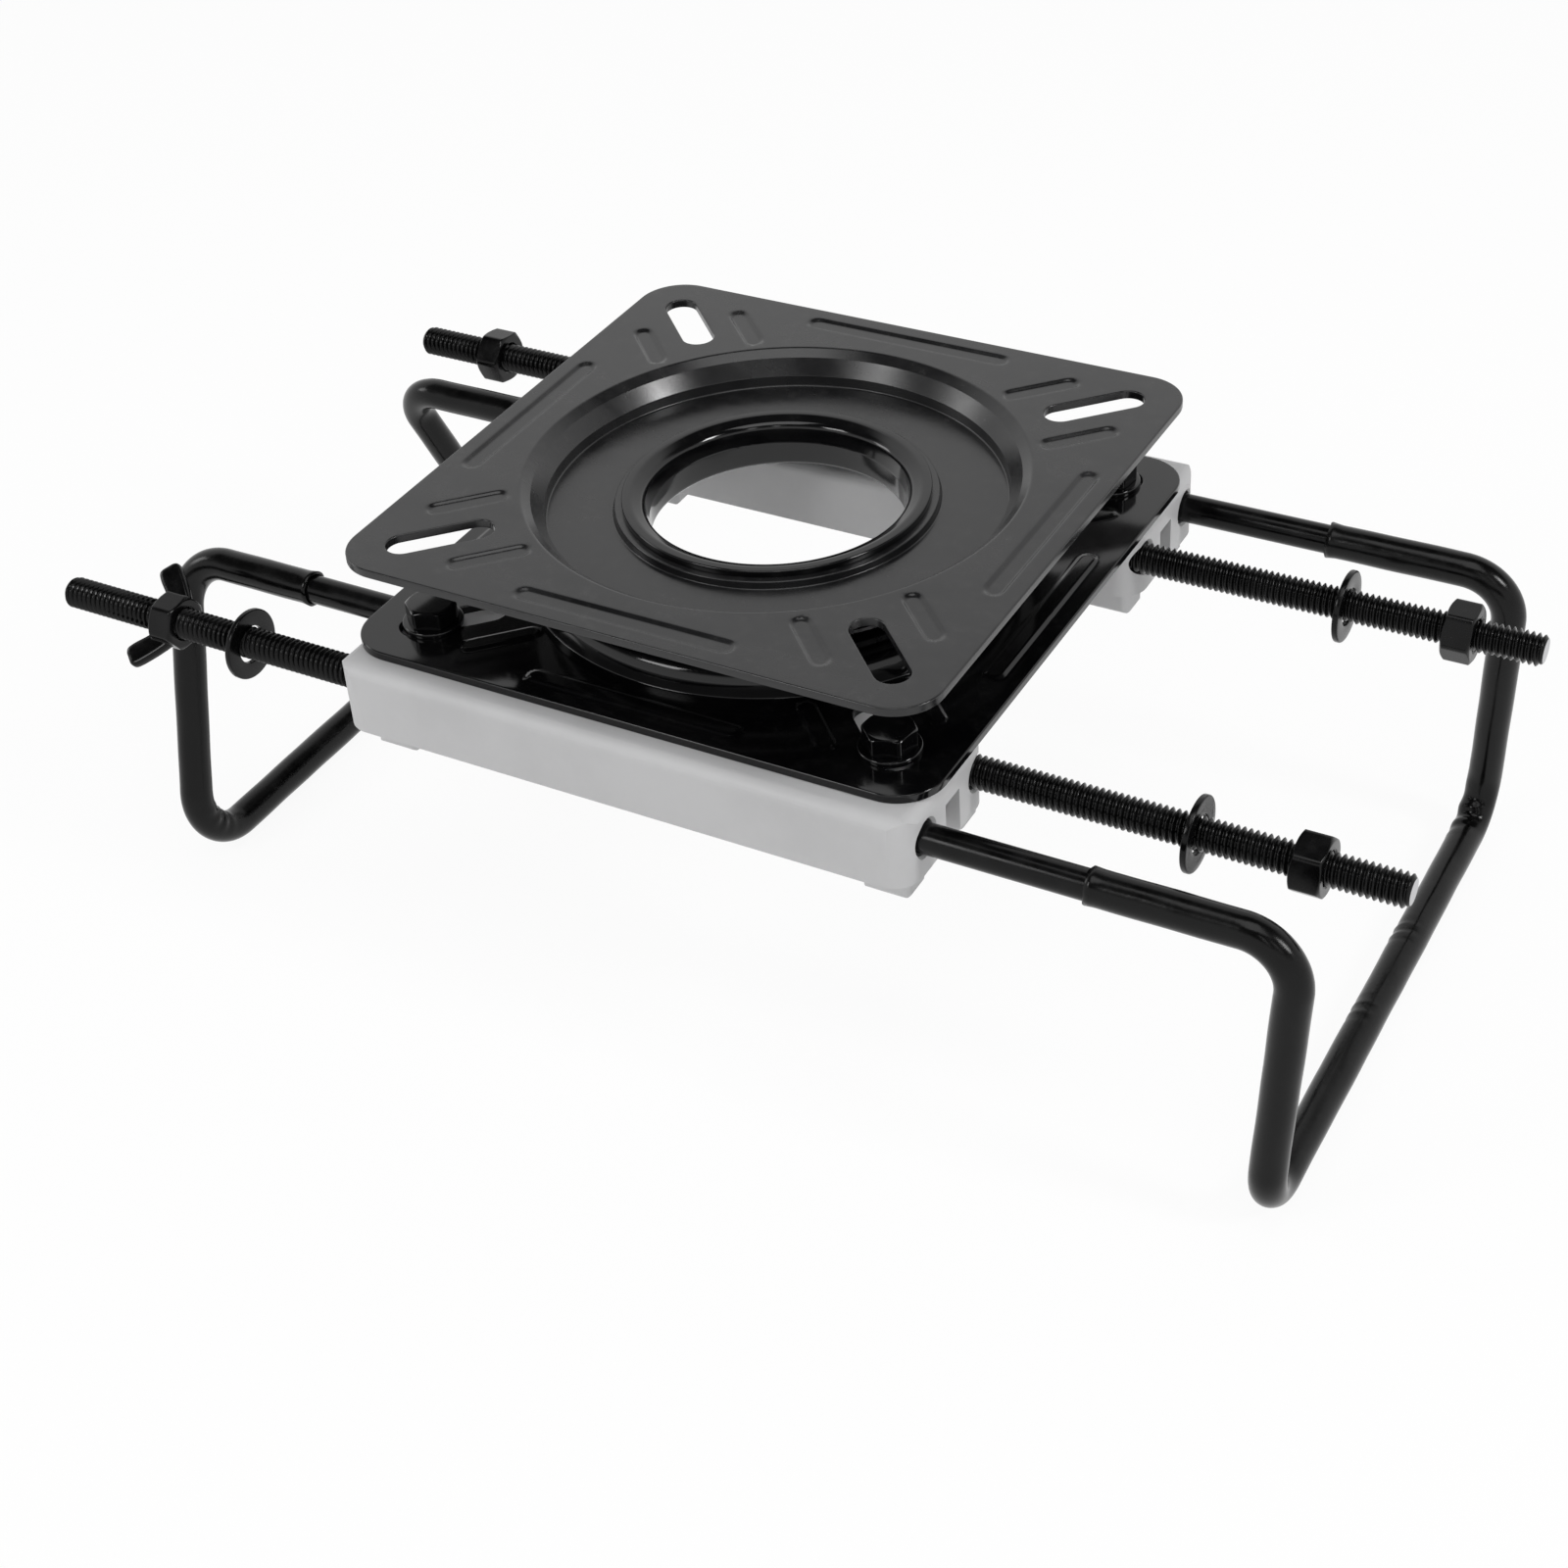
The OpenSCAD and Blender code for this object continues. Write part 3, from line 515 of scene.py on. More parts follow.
ringStart = (39.0, 36.42)  # on the straight underside, so that every corner gets its fillet
ringSection = [
    (42.2, 36.42, 0.9), (42.2, 38.38, 0.3), (37.6, 38.38, 0.3), (37.6, 48.68, 0.3), (43.38, 48.68, 0.2),
    (43.38, 50.64, 0.5), (40.8, 50.64, 3.5), (37.2, 49.2, 2.6), (36.0, 44.0, 3.0), (36.0, 36.42, 1.6)]
ringPath = filletPath([ringStart] + ringSection + [ringStart], 7, 2)[:-1]
centreRing = ringObject("centreRing", turned(ringPath, 192), finishes["glossPaint"])
standFor(centreRing, "seat_plate", "gloss_black", "centre_ring")
print("centre ring rolled")


# Geometry trees

def growPiece(name, tree, values):
    piece = linkedObject(name, bpy.data.meshes.new(name))
    modifier = piece.modifiers.new(tree.name, "NODES")
    modifier.node_group = tree
    for item in tree.interface.items_tree:
        if item.item_type == "SOCKET" and item.in_out == "INPUT" and item.name in values:
            modifier[item.identifier] = values[item.name]
    applyModifiers(piece)
    return piece


# The wave's top is cut flat above 1 and its foot below 0; the thread fades into the rod over the fade length
threadForm = {
    "spareTurns": 2.5, "firstTurn": 1.05, "waveTop": 1.15, "waveFall": 1.3, "fade": 0.003, "weld": 0.000004,
}


def buildThreadTree(form):
    tree, given, end = newTree(
        "GeometryNodeTree", "rolledThread",
        [("Geometry", "Geometry", None), ("Length", "Float", 0.1), ("Pitch", "Float", 0.0016),
         ("Crest Radius", "Float", 0.00465), ("Root Radius", "Float", 0.0039), ("Rod Radius", "Float", 0.0042),
         ("Tip Chamfer", "Float", 0.0012), ("Steps", "Int", 6), ("Segments", "Int", 32),
         ("Finish", "Material", None), ("Tip Finish", "Material", None)],
        [("Geometry", "Geometry")])

    def calc(operation, *values, clamp=False):
        return mathNode(tree, operation, *values, clamp=clamp)

    turns = calc("ADD", calc("DIVIDE", given["Length"], given["Pitch"]), form["spareTurns"])
    columns = calc("ADD", given["Segments"], 1.0)
    grid = addNode(tree, "GeometryNodeMeshGrid", {
        "Vertices X": calc("MULTIPLY", turns, given["Steps"]), "Vertices Y": columns})
    index = addNode(tree, "GeometryNodeInputIndex").outputs[0]
    row = calc("FLOOR", calc("DIVIDE", calc("ADD", index, 0.1), columns))  # 0.1 keeps whole rows whole
    column = calc("SUBTRACT", index, calc("MULTIPLY", row, columns))
    turnPart = calc("DIVIDE", column, given["Segments"])
    rowTurn = calc("DIVIDE", row, given["Steps"])
    helix = calc("SUBTRACT", calc("ADD", rowTurn, turnPart), form["firstTurn"])
    run = calc("MAXIMUM", calc("MULTIPLY", helix, given["Pitch"]), 0.0)
    run = calc("MINIMUM", run, given["Length"])
    phase = calc("FRACT", calc("ADD", rowTurn, 0.001))
    slope = calc("ABSOLUTE", calc("SUBTRACT", calc("MULTIPLY", phase, 2.0), 1.0))
    wave = calc("SUBTRACT", form["waveTop"], calc("MULTIPLY", slope, form["waveFall"]), clamp=True)
    height = calc("SUBTRACT", given["Crest Radius"], given["Root Radius"])
    radius = calc("ADD", given["Root Radius"], calc("MULTIPLY", wave, height))
    fade = calc("DIVIDE", calc("SUBTRACT", given["Length"], run), form["fade"], clamp=True)
    grown = calc("MULTIPLY", calc("SUBTRACT", radius, given["Rod Radius"]), fade)
    radius = calc("ADD", given["Rod Radius"], grown)
    tipRadius = calc("SUBTRACT", given["Crest Radius"], given["Tip Chamfer"])
    radius = calc("MINIMUM", radius, calc("ADD", tipRadius, run))
    angle = calc("MULTIPLY", turnPart, tau)
    place = addNode(tree, "ShaderNodeCombineXYZ", {
        "X": run, "Y": calc("MULTIPLY", radius, calc("COSINE", angle)),
        "Z": calc("MULTIPLY", radius, calc("SINE", angle))})
    wind = addNode(tree, "GeometryNodeSetPosition", {
        "Geometry": grid.outputs["Mesh"], "Position": place.outputs[0]})
    disc = addNode(tree, "GeometryNodeMeshCircle", {
        "Vertices": given["Segments"], "Radius": tipRadius}, fill_type="NGON")
    split = addNode(tree, "ShaderNodeSeparateXYZ", {0: addNode(tree, "GeometryNodeInputPosition").outputs[0]})
    stand = addNode(tree, "ShaderNodeCombineXYZ", {"Y": split.outputs["X"], "Z": split.outputs["Y"]})
    cap = addNode(tree, "GeometryNodeSetPosition", {
        "Geometry": disc.outputs["Mesh"], "Position": stand.outputs[0]})
    join = addNode(tree, "GeometryNodeJoinGeometry")
    for shape, label in ((cap, "Tip Finish"), (wind, "Finish")):
        paint = addNode(tree, "GeometryNodeSetMaterial", {
            "Geometry": shape.outputs["Geometry"], "Material": given[label]})
        feed(tree, join.inputs["Geometry"], paint.outputs["Geometry"])
    weld = addNode(tree, "GeometryNodeMergeByDistance", {
        "Geometry": join.outputs["Geometry"], "Distance": form["weld"]})
    realise = addNode(tree, "GeometryNodeRealizeInstances", {"Geometry": weld.outputs["Geometry"]})
    feed(tree, end["Geometry"], realise.outputs["Geometry"])
    return tree


# Rods and sleeves follow the same bent line as the solids

hookShape = {
    "segments": 32, "bendR": 14.0, "bendStep": 4.0, "rodR": 4.2, "threadLength": 122.0, "pitch": 1.72,
    "crestR": 4.65, "rootR": 3.5, "crossHalf": 91.3, "crossZ": -68.8, "sleeveR": 5.0, "sleeveInR": 4.26,
}
hooks = {
    "wideHook": {
        "side": 1, "corner": 186.0, "armY": 85.7, "lean": 2.8, "tips": (-191.5, -183.5), "sleeve": 132.4,
        "body": "wide_hook", "rod": "right_hook", "cover": "right_sleeve", "tipFinish": "rodBlack"},
    "narrowHook": {
        "side": -1, "corner": 174.0, "armY": 55.6, "lean": 13.4, "tips": (203.5, 203.5), "sleeve": -125.4,
        "body": "narrow_hook", "rod": "left_hook", "cover": "left_sleeve", "tipFinish": "bareSteel"},
}


def hookCorners(hook, start, end):
    side, armY, z = hook["side"], hook["armY"], seatBase["rodHeight"]
    low, half = side * (hook["corner"] - hook["lean"]), hookShape["crossHalf"]
    return np.array([(start, -armY, z), (side * hook["corner"], -armY, z), (low, -half, hookShape["crossZ"]),
                     (low, half, hookShape["crossZ"]), (side * hook["corner"], armY, z), (end, armY, z)])


def bentLine(corners, bendR, bendStep, straightStep):
    points = [corners[0]]
    for i in range(1, len(corners)):
        here = corners[i]
        came = (here - corners[i - 1]) / np.linalg.norm(here - corners[i - 1])
        if i == len(corners) - 1:
            stretch = [here]
        else:
            goes = (corners[i + 1] - here) / np.linalg.norm(corners[i + 1] - here)
            turn = math.acos(float(came @ goes))
            inward = goes - (came @ goes) * came
            inward /= np.linalg.norm(inward)
            centre = here - bendR * math.tan(turn / 2) * came + bendR * inward
            steps = max(4, int(math.degrees(turn) / bendStep))
            stretch = [centre + bendR * (came * math.sin(a) - inward * math.cos(a))
                       for a in np.linspace(0, turn, steps + 1)]
        gap = stretch[0] - points[-1]
        count = max(1, int(np.linalg.norm(gap) / straightStep))
        points += [points[-1] + gap * k / count for k in range(1, count)]
        points += stretch
    return np.array(points)


def carried(points):
    tangents = np.gradient(points, axis=0)
    tangents[0], tangents[-1] = points[1] - points[0], points[-1] - points[-2]
    tangents /= np.linalg.norm(tangents, axis=1)[:, None]
    normal = np.array([0.0, 0.0, 1.0])
    frames = []
    for t in tangents:
        normal = normal - (normal @ t) * t
        normal /= np.linalg.norm(normal)
        frames.append((t, normal, np.cross(t, normal)))
    return frames


def sweptRings(points, frames, radii, segments):
    _, c, s = circle(segments)
    rings = []
    for p, (t, n, b), radius in zip(points, frames, radii):
        rings.append(p + (c[:, None] * n + s[:, None] * b) * np.reshape(radius, (-1, 1)))
    return rings


threadTree = buildThreadTree(threadForm)


def makeHook(name, hook):
    side = hook["side"]
    corners = hookCorners(hook, *(tip + side * hookShape["threadLength"] for tip in hook["tips"]))
    points = bentLine(corners, hookShape["bendR"], hookShape["bendStep"], 8.0)
    frames = carried(points)
    count = hookShape["segments"]
    rings = sweptRings(points, frames, [hookShape["rodR"]] * len(points), count)
    bm = bmesh.new()
    rod = newObject(name, np.vstack(rings), ringFaces(len(rings), count),
                    [finishes["rodBlack"], finishes[hook["tipFinish"]]])
    bm.from_mesh(rod.data)
    thread = growPiece(name + "Thread", threadTree, {
        "Length": hookShape["threadLength"] * mm, "Pitch": hookShape["pitch"] * mm,
        "Crest Radius": hookShape["crestR"] * mm, "Root Radius": hookShape["rootR"] * mm,
        "Rod Radius": hookShape["rodR"] * mm, "Tip Chamfer": 1.2 * mm, "Segments": count,
        "Finish": finishes["rodBlack"], "Tip Finish": finishes[hook["tipFinish"]]})
    slots = [m.name if m else "rodBlack" for m in thread.data.materials]
    for end, armSide, tipX in ((0, -1, hook["tips"][0]), (-1, 1, hook["tips"][1])):
        t, n, _ = frames[end]
        inward = t if end == 0 else -t
        third = np.cross(inward, n)
        tip = np.array([tipX, armSide * hook["armY"], seatBase["rodHeight"]]) * mm
        place = Matrix([[inward[r], n[r], third[r], tip[r]] for r in range(3)] + [[0, 0, 0, 1]])
        before = len(bm.faces)
        moved = thread.data.copy()
        moved.transform(place)
        bm.from_mesh(moved)
        bm.faces.ensure_lookup_table()
        for face in bm.faces[before:]:
            face.material_index = int(slots[face.material_index] != "rodBlack")
        bpy.data.meshes.remove(moved)
    bpy.data.objects.remove(thread)
    bmesh.ops.remove_doubles(bm, verts=bm.verts, dist=0.00001)
    bmesh.ops.recalc_face_normals(bm, faces=bm.faces)
    openEdges = sum(1 for e in bm.edges if len(e.link_faces) != 2)
    for face in bm.faces:
        face.smooth = len(face.verts) <= 4
    bm.to_mesh(rod.data)
    bm.free()
    standFor(rod, hook["body"], "rod_black", hook["rod"])
    print(name, "bent,", len(rod.data.polygons), "faces,", openEdges, "open edges")


sleeveForm = {
    "around": 40, "bendStep": 3.0, "straightStep": 1.4, "thinner": 0.09, "innerEvery": 6,
    "lipHeight": 0.28, "lipLength": 1.6, "ragged": (0.21, 0.12), "cutRound": 0.12,
    "slowWave": (0.05, 0.11), "quickWave": (0.03, 0.31),  # height and rate along the sleeve
}
sleeveFolds = {
    "wideHook": [
        {"at": (183.2, 80.0, -62.0), "towards": (-0.5, -0.6, 0.6), "reach": 7.0, "waves": 1.6, "height": 0.5},
        {"at": (183.2, 24.0, -68.8), "towards": (-0.6, 0.0, 0.8), "reach": 5.0, "waves": 1.2, "height": 0.35},
        {"at": (183.2, -12.0, -68.8), "towards": (-0.7, 0.0, 0.7), "reach": 5.0, "waves": 1.2, "height": 0.3},
    ],
    "narrowHook": [
        {"at": (-160.0, -84.0, -62.0), "towards": (0.5, 0.6, 0.6), "reach": 7.0, "waves": 1.6, "height": 0.4},
    ],
}


def makeSleeve(name, hook, form):
    corners = hookCorners(hook, hook["sleeve"], hook["sleeve"])
    points = bentLine(corners, hookShape["bendR"], form["bendStep"], form["straightStep"])
    frames = carried(points)
    count = form["around"]
    angles, cosines, sines = circle(count)
    lengths = np.concatenate([[0], np.cumsum(np.linalg.norm(np.diff(points, axis=0), axis=1))])
    (slow, slowRate), (quick, quickRate) = form["slowWave"], form["quickWave"]
    outer = []
    for p, (t, n, b), s in zip(points, frames, lengths):
        radial = cosines[:, None] * n + sines[:, None] * b
        radius = np.full(count, hookShape["sleeveR"] - form["thinner"])
        radius += slow * np.sin(s * slowRate + sines)
        radius += quick * np.sin(s * quickRate + 2 * cosines)
        for edge in (s, lengths[-1] - s):
            swell = form["lipHeight"] * math.exp(-(edge / form["lipLength"]) ** 2)
            radius += swell * (1 + 0.4 * np.sin(2 * angles + 1))
        for fold in sleeveFolds[name]:
            away = p - np.array(fold["at"])
            if np.linalg.norm(away) < 3 * fold["reach"]:
                towards = np.array(fold["towards"]) / np.linalg.norm(fold["towards"])
                facing = np.clip(radial @ towards, 0, 1) ** 1.5
                u = float(away @ t) / fold["reach"]
                radius -= fold["height"] * facing * math.exp(-u * u * 1.5) * math.cos(tau * fold["waves"] * u)
        outer.append(radius)
    rings = sweptRings(points, frames, outer, count)
    ragged = (form["ragged"][0] * np.sin(3 * angles + 0.6) + form["ragged"][1] * np.sin(7 * angles))[:, None]
    rings[0] = rings[0] - frames[0][0] * ragged
    rings[-1] = rings[-1] + frames[-1][0] * ragged
    innerAt = np.unique(np.concatenate([np.arange(0, len(points), form["innerEvery"]), [len(points) - 1]]))
    inner = sweptRings(points[innerAt], [frames[i] for i in innerAt],
                       [hookShape["sleeveInR"]] * len(innerAt), count)
    lipEnd = [(rings[-1] + inner[-1]) / 2 + frames[-1][0] * form["cutRound"]]
    lipStart = [(rings[0] + inner[0]) / 2 - frames[0][0] * form["cutRound"]]
    piece = ringObject(name + "Sleeve", rings + lipEnd + inner[::-1] + lipStart, finishes["sleeveVinyl"])
    standFor(piece, hook["body"], "vinyl_black", hook["cover"])
    print(name, "sleeve drawn on,", len(piece.data.polygons), "faces")


for name, hook in hooks.items():
    makeHook(name, hook)
    makeSleeve(name, hook, sleeveForm)


# Bars: softened copies of the solids, whose shape is already right

barShape = {
    "halfX": 88.0, "centreY": 72.5, "halfY": 23.5, "cornerR": 8.0, "top": 27.0, "topR": 3.0, "footR": 1.0,
    "softWidth": 0.5, "softAngle": 28, "sharpAngle": 40,
}


def onOutline(vert, shape, height):
    x, y, z = (abs(v) / mm for v in vert.co)
    q = np.array([x - shape["halfX"], abs(y - shape["centreY"]) - shape["halfY"]]) + shape["cornerR"]
    away = np.linalg.norm(np.maximum(q, 0)) + min(q.max(), 0) - shape["cornerR"]
    return abs(away) < 0.3 and abs(z - height) < 0.1


def softenedBar(name, nodeName, shape, finish):
    piece = linkedObject(name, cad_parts[nodeName].data.copy())
    bm = bmesh.new()
    bm.from_mesh(piece.data)
    bmesh.ops.remove_doubles(bm, verts=bm.verts, dist=0.000004)
    bmesh.ops.dissolve_limit(bm, angle_limit=math.radians(0.6), verts=bm.verts, edges=bm.edges)
    for height, radius, steps in ((shape["top"], shape["topR"], 6), (0.0, shape["footR"], 3)):
        edges = [edge for edge in bm.edges if all(onOutline(vert, shape, height) for vert in edge.verts)]
        bmesh.ops.bevel(bm, geom=edges, offset=radius * mm, segments=steps, profile=0.5, affect="EDGES",
                        clamp_overlap=False)
    for face in bm.faces:
        face.smooth = True
        face.material_index = 0
    bm.to_mesh(piece.data)
    bm.free()
    if piece.data.has_custom_normals:
        with bpy.context.temp_override(object=piece, active_object=piece, selected_objects=[piece]):
            bpy.ops.mesh.customdata_custom_splitnormals_clear()
    onlyFinish(piece.data, finish)
    bevel = piece.modifiers.new("softEdges", "BEVEL")
    bevel.width = shape["softWidth"] * mm
    bevel.segments = 2
    bevel.limit_method = "ANGLE"
    bevel.angle_limit = math.radians(shape["softAngle"])
    bevel.miter_outer = "MITER_ARC"
    bevel.harden_normals = False
    applyModifiers(piece)
    piece.data.set_sharp_from_angle(angle=math.radians(shape["sharpAngle"]))
    evenNormals(piece)
    standFor(piece, "base", "bar_grey", nodeName)


for nodeName, name in (("front_bar", "frontBar"), ("rear_bar", "rearBar")):
    softenedBar(name, nodeName, barShape, finishes["barPlastic"])
print("bars softened")


# Hexagon heads and nuts: flats cut by a chamfer cone, so each corner shows its arc

hexForm = {
    "around": 96, "cone": 30, "inFromFlat": 0.15, "cornerOff": 0.2, "eased": 0.12, "rise": 0.14, "small": 0.02,
}


def hexProfile(angle, flats):
    folded = (angle + math.pi / 6) % (math.pi / 3) - math.pi / 6
    return min(flats / 2 / math.cos(folded), flats / 2 / math.cos(math.pi / 6) - hexForm["cornerOff"])


def hexRings(flats, height, holeR, chamferFoot, turn):
    angles, c, s = circle(hexForm["around"])
    reach = np.array([hexProfile(a - turn, flats) for a in angles])
    cone, small = math.tan(math.radians(hexForm["cone"])), hexForm["small"]
    flatR, eased = flats / 2 - hexForm["inFromFlat"], reach - hexForm["eased"]
    bore = [(holeR, 0.4), (holeR + 0.5, 0.0)] if holeR > 0 else []
    chamfer = [(flatR - 0.4, 0.0), (flatR, small), (eased, (eased - flatR) * cone + small),
               (reach, (reach - flatR) * cone + hexForm["rise"])]
    foot = bore + (chamfer if chamferFoot else [(reach - 0.25, 0.0), (reach, 0.2)])
    steps = foot + [(radius, height - rise) for radius, rise in (bore + chamfer)[::-1]]
    return [np.column_stack([radius * c, radius * s, np.broadcast_to(z, c.shape)]) for radius, z in steps]


def rodPlace(rings, side, y, away, hang):
    origin = np.array([side * (seatBase["barEnd"] + away), y, seatBase["rodHeight"] - hang])
    turn = np.array([[0, 0, side], [0, -side, 0], [1, 0, 0]], float)
    return [ring @ turn.T + origin for ring in rings]


def onRod(name, rings, place, hang, sharp):
    nodeName, body, side, y, away = place
    piece = ringObject(name, rodPlace(rings, side, y, away, hang), finishes["rodBlack"], sharp=sharp)
    standFor(piece, body, "rod_black", nodeName)


nutShape = {"flats": 15.2, "height": 8.3, "holeR": 4.72, "sharp": 32}
clampNuts = {
    "nutRearLeft": ("nut_rear_left", "nut_rl", -1, 85.7, 62.5, 8),
    "nutFrontRight": ("nut_front_right", "nut_fr", 1, -55.6, 86.2, 17),
    "nutRearRight": ("nut_rear_right", "nut_rr", 1, 55.6, 88.5, 3),
}
for name, (*place, degrees) in clampNuts.items():
    rings = hexRings(nutShape["flats"], nutShape["height"], nutShape["holeR"], True, math.radians(degrees))
    onRod(name, rings, place, 0.0, nutShape["sharp"])

washerShape = {
    "section": [(7.0, 0.0), (10.3, 0.0, 0.35), (10.3, 1.7, 0.5), (5.45, 1.7, 0.3), (5.45, 0.0, 0.3),
                (7.0, 0.0)],
    "around": 72, "hang": 0.5, "sharp": 50,  # hang: how far below the rod's axis
}
clampWashers = {
    "washerFrontLeft": ("washer_front_left", "washer_fl", -1, -85.7, 37.0),
    "washerRearLeft": ("washer_rear_left", "washer_rl", -1, 85.7, 28.5),
    "washerFrontRight": ("washer_front_right", "washer_fr", 1, -55.6, 59.4),
    "washerRearRight": ("washer_rear_right", "washer_rr", 1, 55.6, 59.0),
}
for name, place in clampWashers.items():
    rings = turned(filletPath(washerShape["section"], 4, 1)[:-1], washerShape["around"])
    onRod(name, rings, place, washerShape["hang"], washerShape["sharp"])
print("clamp nuts and washers turned")


# Wing nut: hexagon body and two bent wings, melted together like a casting

wingNut = {
    "flats": 14.4, "height": 8.0, "holeR": 4.78, "away": 61.0, "y": -85.7, "turn": 37.0, "thick": 3.6,
    "line": [(2.0, 3.6), (5.5, 4.6), (9.0, 7.6), (12.2, 11.0), (14.6, 13.4)],  # from the axis, above the foot
    "halfWidth": [3.4, 3.5, 3.5, 3.7, 3.3], "steps": 6, "around": 28, "square": 0.6, "hollow": 0.16,
    "blunt": 0.65, "voxel": 0.22, "ease": 7,
}


def wingRings(shape, side):
    line, width = np.array(shape["line"]), np.array(shape["halfWidth"])
    t = np.linspace(0, len(line) - 1, (len(line) - 1) * shape["steps"] + 1)
    at = np.arange(len(line))
    run, up, half = np.interp(t, at, line[:, 0]), np.interp(t, at, line[:, 1]), np.interp(t, at, width)
    for _ in range(3):
        for values in (run, up, half):
            values[1:-1] = (values[:-2] + 2 * values[1:-1] + values[2:]) / 4
    way = np.column_stack([np.gradient(run), np.gradient(up)])
    way /= np.linalg.norm(way, axis=1)[:, None]
    across, through = (np.sign(v) * np.abs(v) ** shape["square"] for v in circle(shape["around"])[1:])
    hollow = 1 - shape["hollow"] * np.cos(np.clip(across, -1, 1) * math.pi / 2)
    rings = []
    for i in range(len(t)):
        toEnd = min(1.0, (len(t) - 1 - i) / 3)
        close = math.sqrt(1 - (1 - toEnd) ** 2) * (1 - shape["blunt"]) + shape["blunt"]
        x = run[i] - way[i, 1] * across * half[i] * close
        z = up[i] + way[i, 0] * across * half[i] * close
        y = through * hollow * shape["thick"] / 2 * close
        rings.append(np.column_stack([side * x, side * y, z]))
    return rings


def makeWingNut(shape):
    body = hexRings(shape["flats"], shape["height"], shape["holeR"], True, 0.0)
    verts, faces = [np.vstack(body)], ringFaces(len(body), hexForm["around"], True)
    for side in (1, -1):
        ends = addRings(verts, faces, wingRings(shape, side))
        faces += [tuple(range(end, end + shape["around"])) for end in ends]
    turn = math.radians(90 - shape["turn"])
    spin = np.array([[math.cos(turn), -math.sin(turn), 0], [math.sin(turn), math.cos(turn), 0], [0, 0, 1]])
    verts = rodPlace([np.vstack(verts) @ spin.T], -1, shape["y"], shape["away"], 0.0)[0]
    piece = newObject("wingNut", verts, faces, [finishes["rodBlack"]])
    tidyMesh(piece)
    melt = piece.modifiers.new("melt", "REMESH")
    melt.mode = "VOXEL"
    melt.voxel_size = shape["voxel"] * mm
    melt.use_smooth_shade = True
    ease = piece.modifiers.new("ease", "SMOOTH")
    ease.factor, ease.iterations = 0.5, shape["ease"]
    applyModifiers(piece)
    onlyFinish(piece.data, finishes["rodBlack"])
    standFor(piece, "nut_fl", "rod_black", "wing_nut")
    print("wing nut cast,", len(piece.data.polygons), "faces")


makeWingNut(wingNut)


# The four plate bolts and their washers are one shape each, set out by a tree

def buildCornerTree():
    tree, given, end = newTree(
        "GeometryNodeTree", "fourCorners",
        [("Geometry", "Geometry", None), ("Shape", "Object", None), ("Spread", "Float", 0.14),
         ("Height", "Float", 0.0), ("Most Turn", "Float", 0.5), ("Seed", "Int", 3),
         ("Finish", "Material", None)],
        [("Geometry", "Geometry")])
    grid = addNode(tree, "GeometryNodeMeshGrid", {
        "Vertices X": 2, "Vertices Y": 2, "Size X": given["Spread"], "Size Y": given["Spread"]})
    lift = addNode(tree, "ShaderNodeCombineXYZ", {"Z": given["Height"]})
    raised = addNode(tree, "GeometryNodeSetPosition", {
        "Geometry": grid.outputs["Mesh"], "Offset": lift.outputs[0]})
    shape = addNode(tree, "GeometryNodeObjectInfo", {"Object": given["Shape"]})
    turn = addNode(tree, "FunctionNodeRandomValue", {"Seed": given["Seed"]}, data_type="FLOAT")
    least, most = [s for s in turn.inputs if s.type == "VALUE"][:2]
    feed(tree, least, 0.0)
    feed(tree, most, given["Most Turn"])
    spin = addNode(tree, "ShaderNodeCombineXYZ", {"Z": [s for s in turn.outputs if s.type == "VALUE"][0]})
    toRotation = addNode(tree, "FunctionNodeEulerToRotation", {0: spin.outputs[0]})
    onPoints = addNode(tree, "GeometryNodeInstanceOnPoints", {
        "Points": raised.outputs["Geometry"], "Instance": shape.outputs["Geometry"],
        "Rotation": toRotation.outputs[0]})
    realise = addNode(tree, "GeometryNodeRealizeInstances", {"Geometry": onPoints.outputs["Instances"]})
    paint = addNode(tree, "GeometryNodeSetMaterial", {
        "Geometry": realise.outputs["Geometry"], "Material": given["Finish"]})
    feed(tree, end["Geometry"], paint.outputs["Geometry"])
    return tree


cornerTree = buildCornerTree()
boltShape = {
    "flats": 13.0, "head": 5.5, "shankR": 4.0, "length": 25.0, "point": 0.8, "neck": 0.3, "sharp": 32,
    "washerThick": 1.6, "washerAround": 64, "washerSharp": 50,
    "washer": [(6.0, 0.0), (8.5, 0.0, 0.15), (8.5, 1.6, 0.5), (4.15, 1.6, 0.2), (4.15, 0.0, 0.2), (6.0, 0.0)],
}
shankR, point, neck = boltShape["shankR"], boltShape["point"], boltShape["neck"]
shank = turned([(shankR - point, -boltShape["length"]), (shankR, point - boltShape["length"]), (shankR, -neck),
                (shankR + neck, 0.0)], hexForm["around"])
boltRings = shank + hexRings(boltShape["flats"], boltShape["head"], 0, False, 0.0)
oneBolt = ringObject("oneBolt", boltRings, finishes["glossPaint"], closed=False, sharp=boltShape["sharp"])
washerRings = turned(filletPath(boltShape["washer"], 4, 1)[:-1], boltShape["washerAround"])
oneWasher = ringObject("oneWasher", washerRings, finishes["glossPaint"], sharp=boltShape["washerSharp"])
for name, shape, height, nodeName in (
        ("plateBolts", oneBolt, seatBase["lowFace"] + boltShape["washerThick"], "plate_bolts"),
        ("boltWashers", oneWasher, seatBase["lowFace"], "bolt_washers")):
    piece = growPiece(name, cornerTree, {
        "Shape": shape, "Spread": 2 * seatBase["boltFromAxis"] * mm, "Height": height * mm,
        "Most Turn": 1.0, "Seed": 3, "Finish": finishes["glossPaint"]})
    bpy.data.objects.remove(shape)
    standFor(piece, "base", "gloss_black", nodeName)
print("plate bolts set in place")


# Solids that keep their own shape get their finish

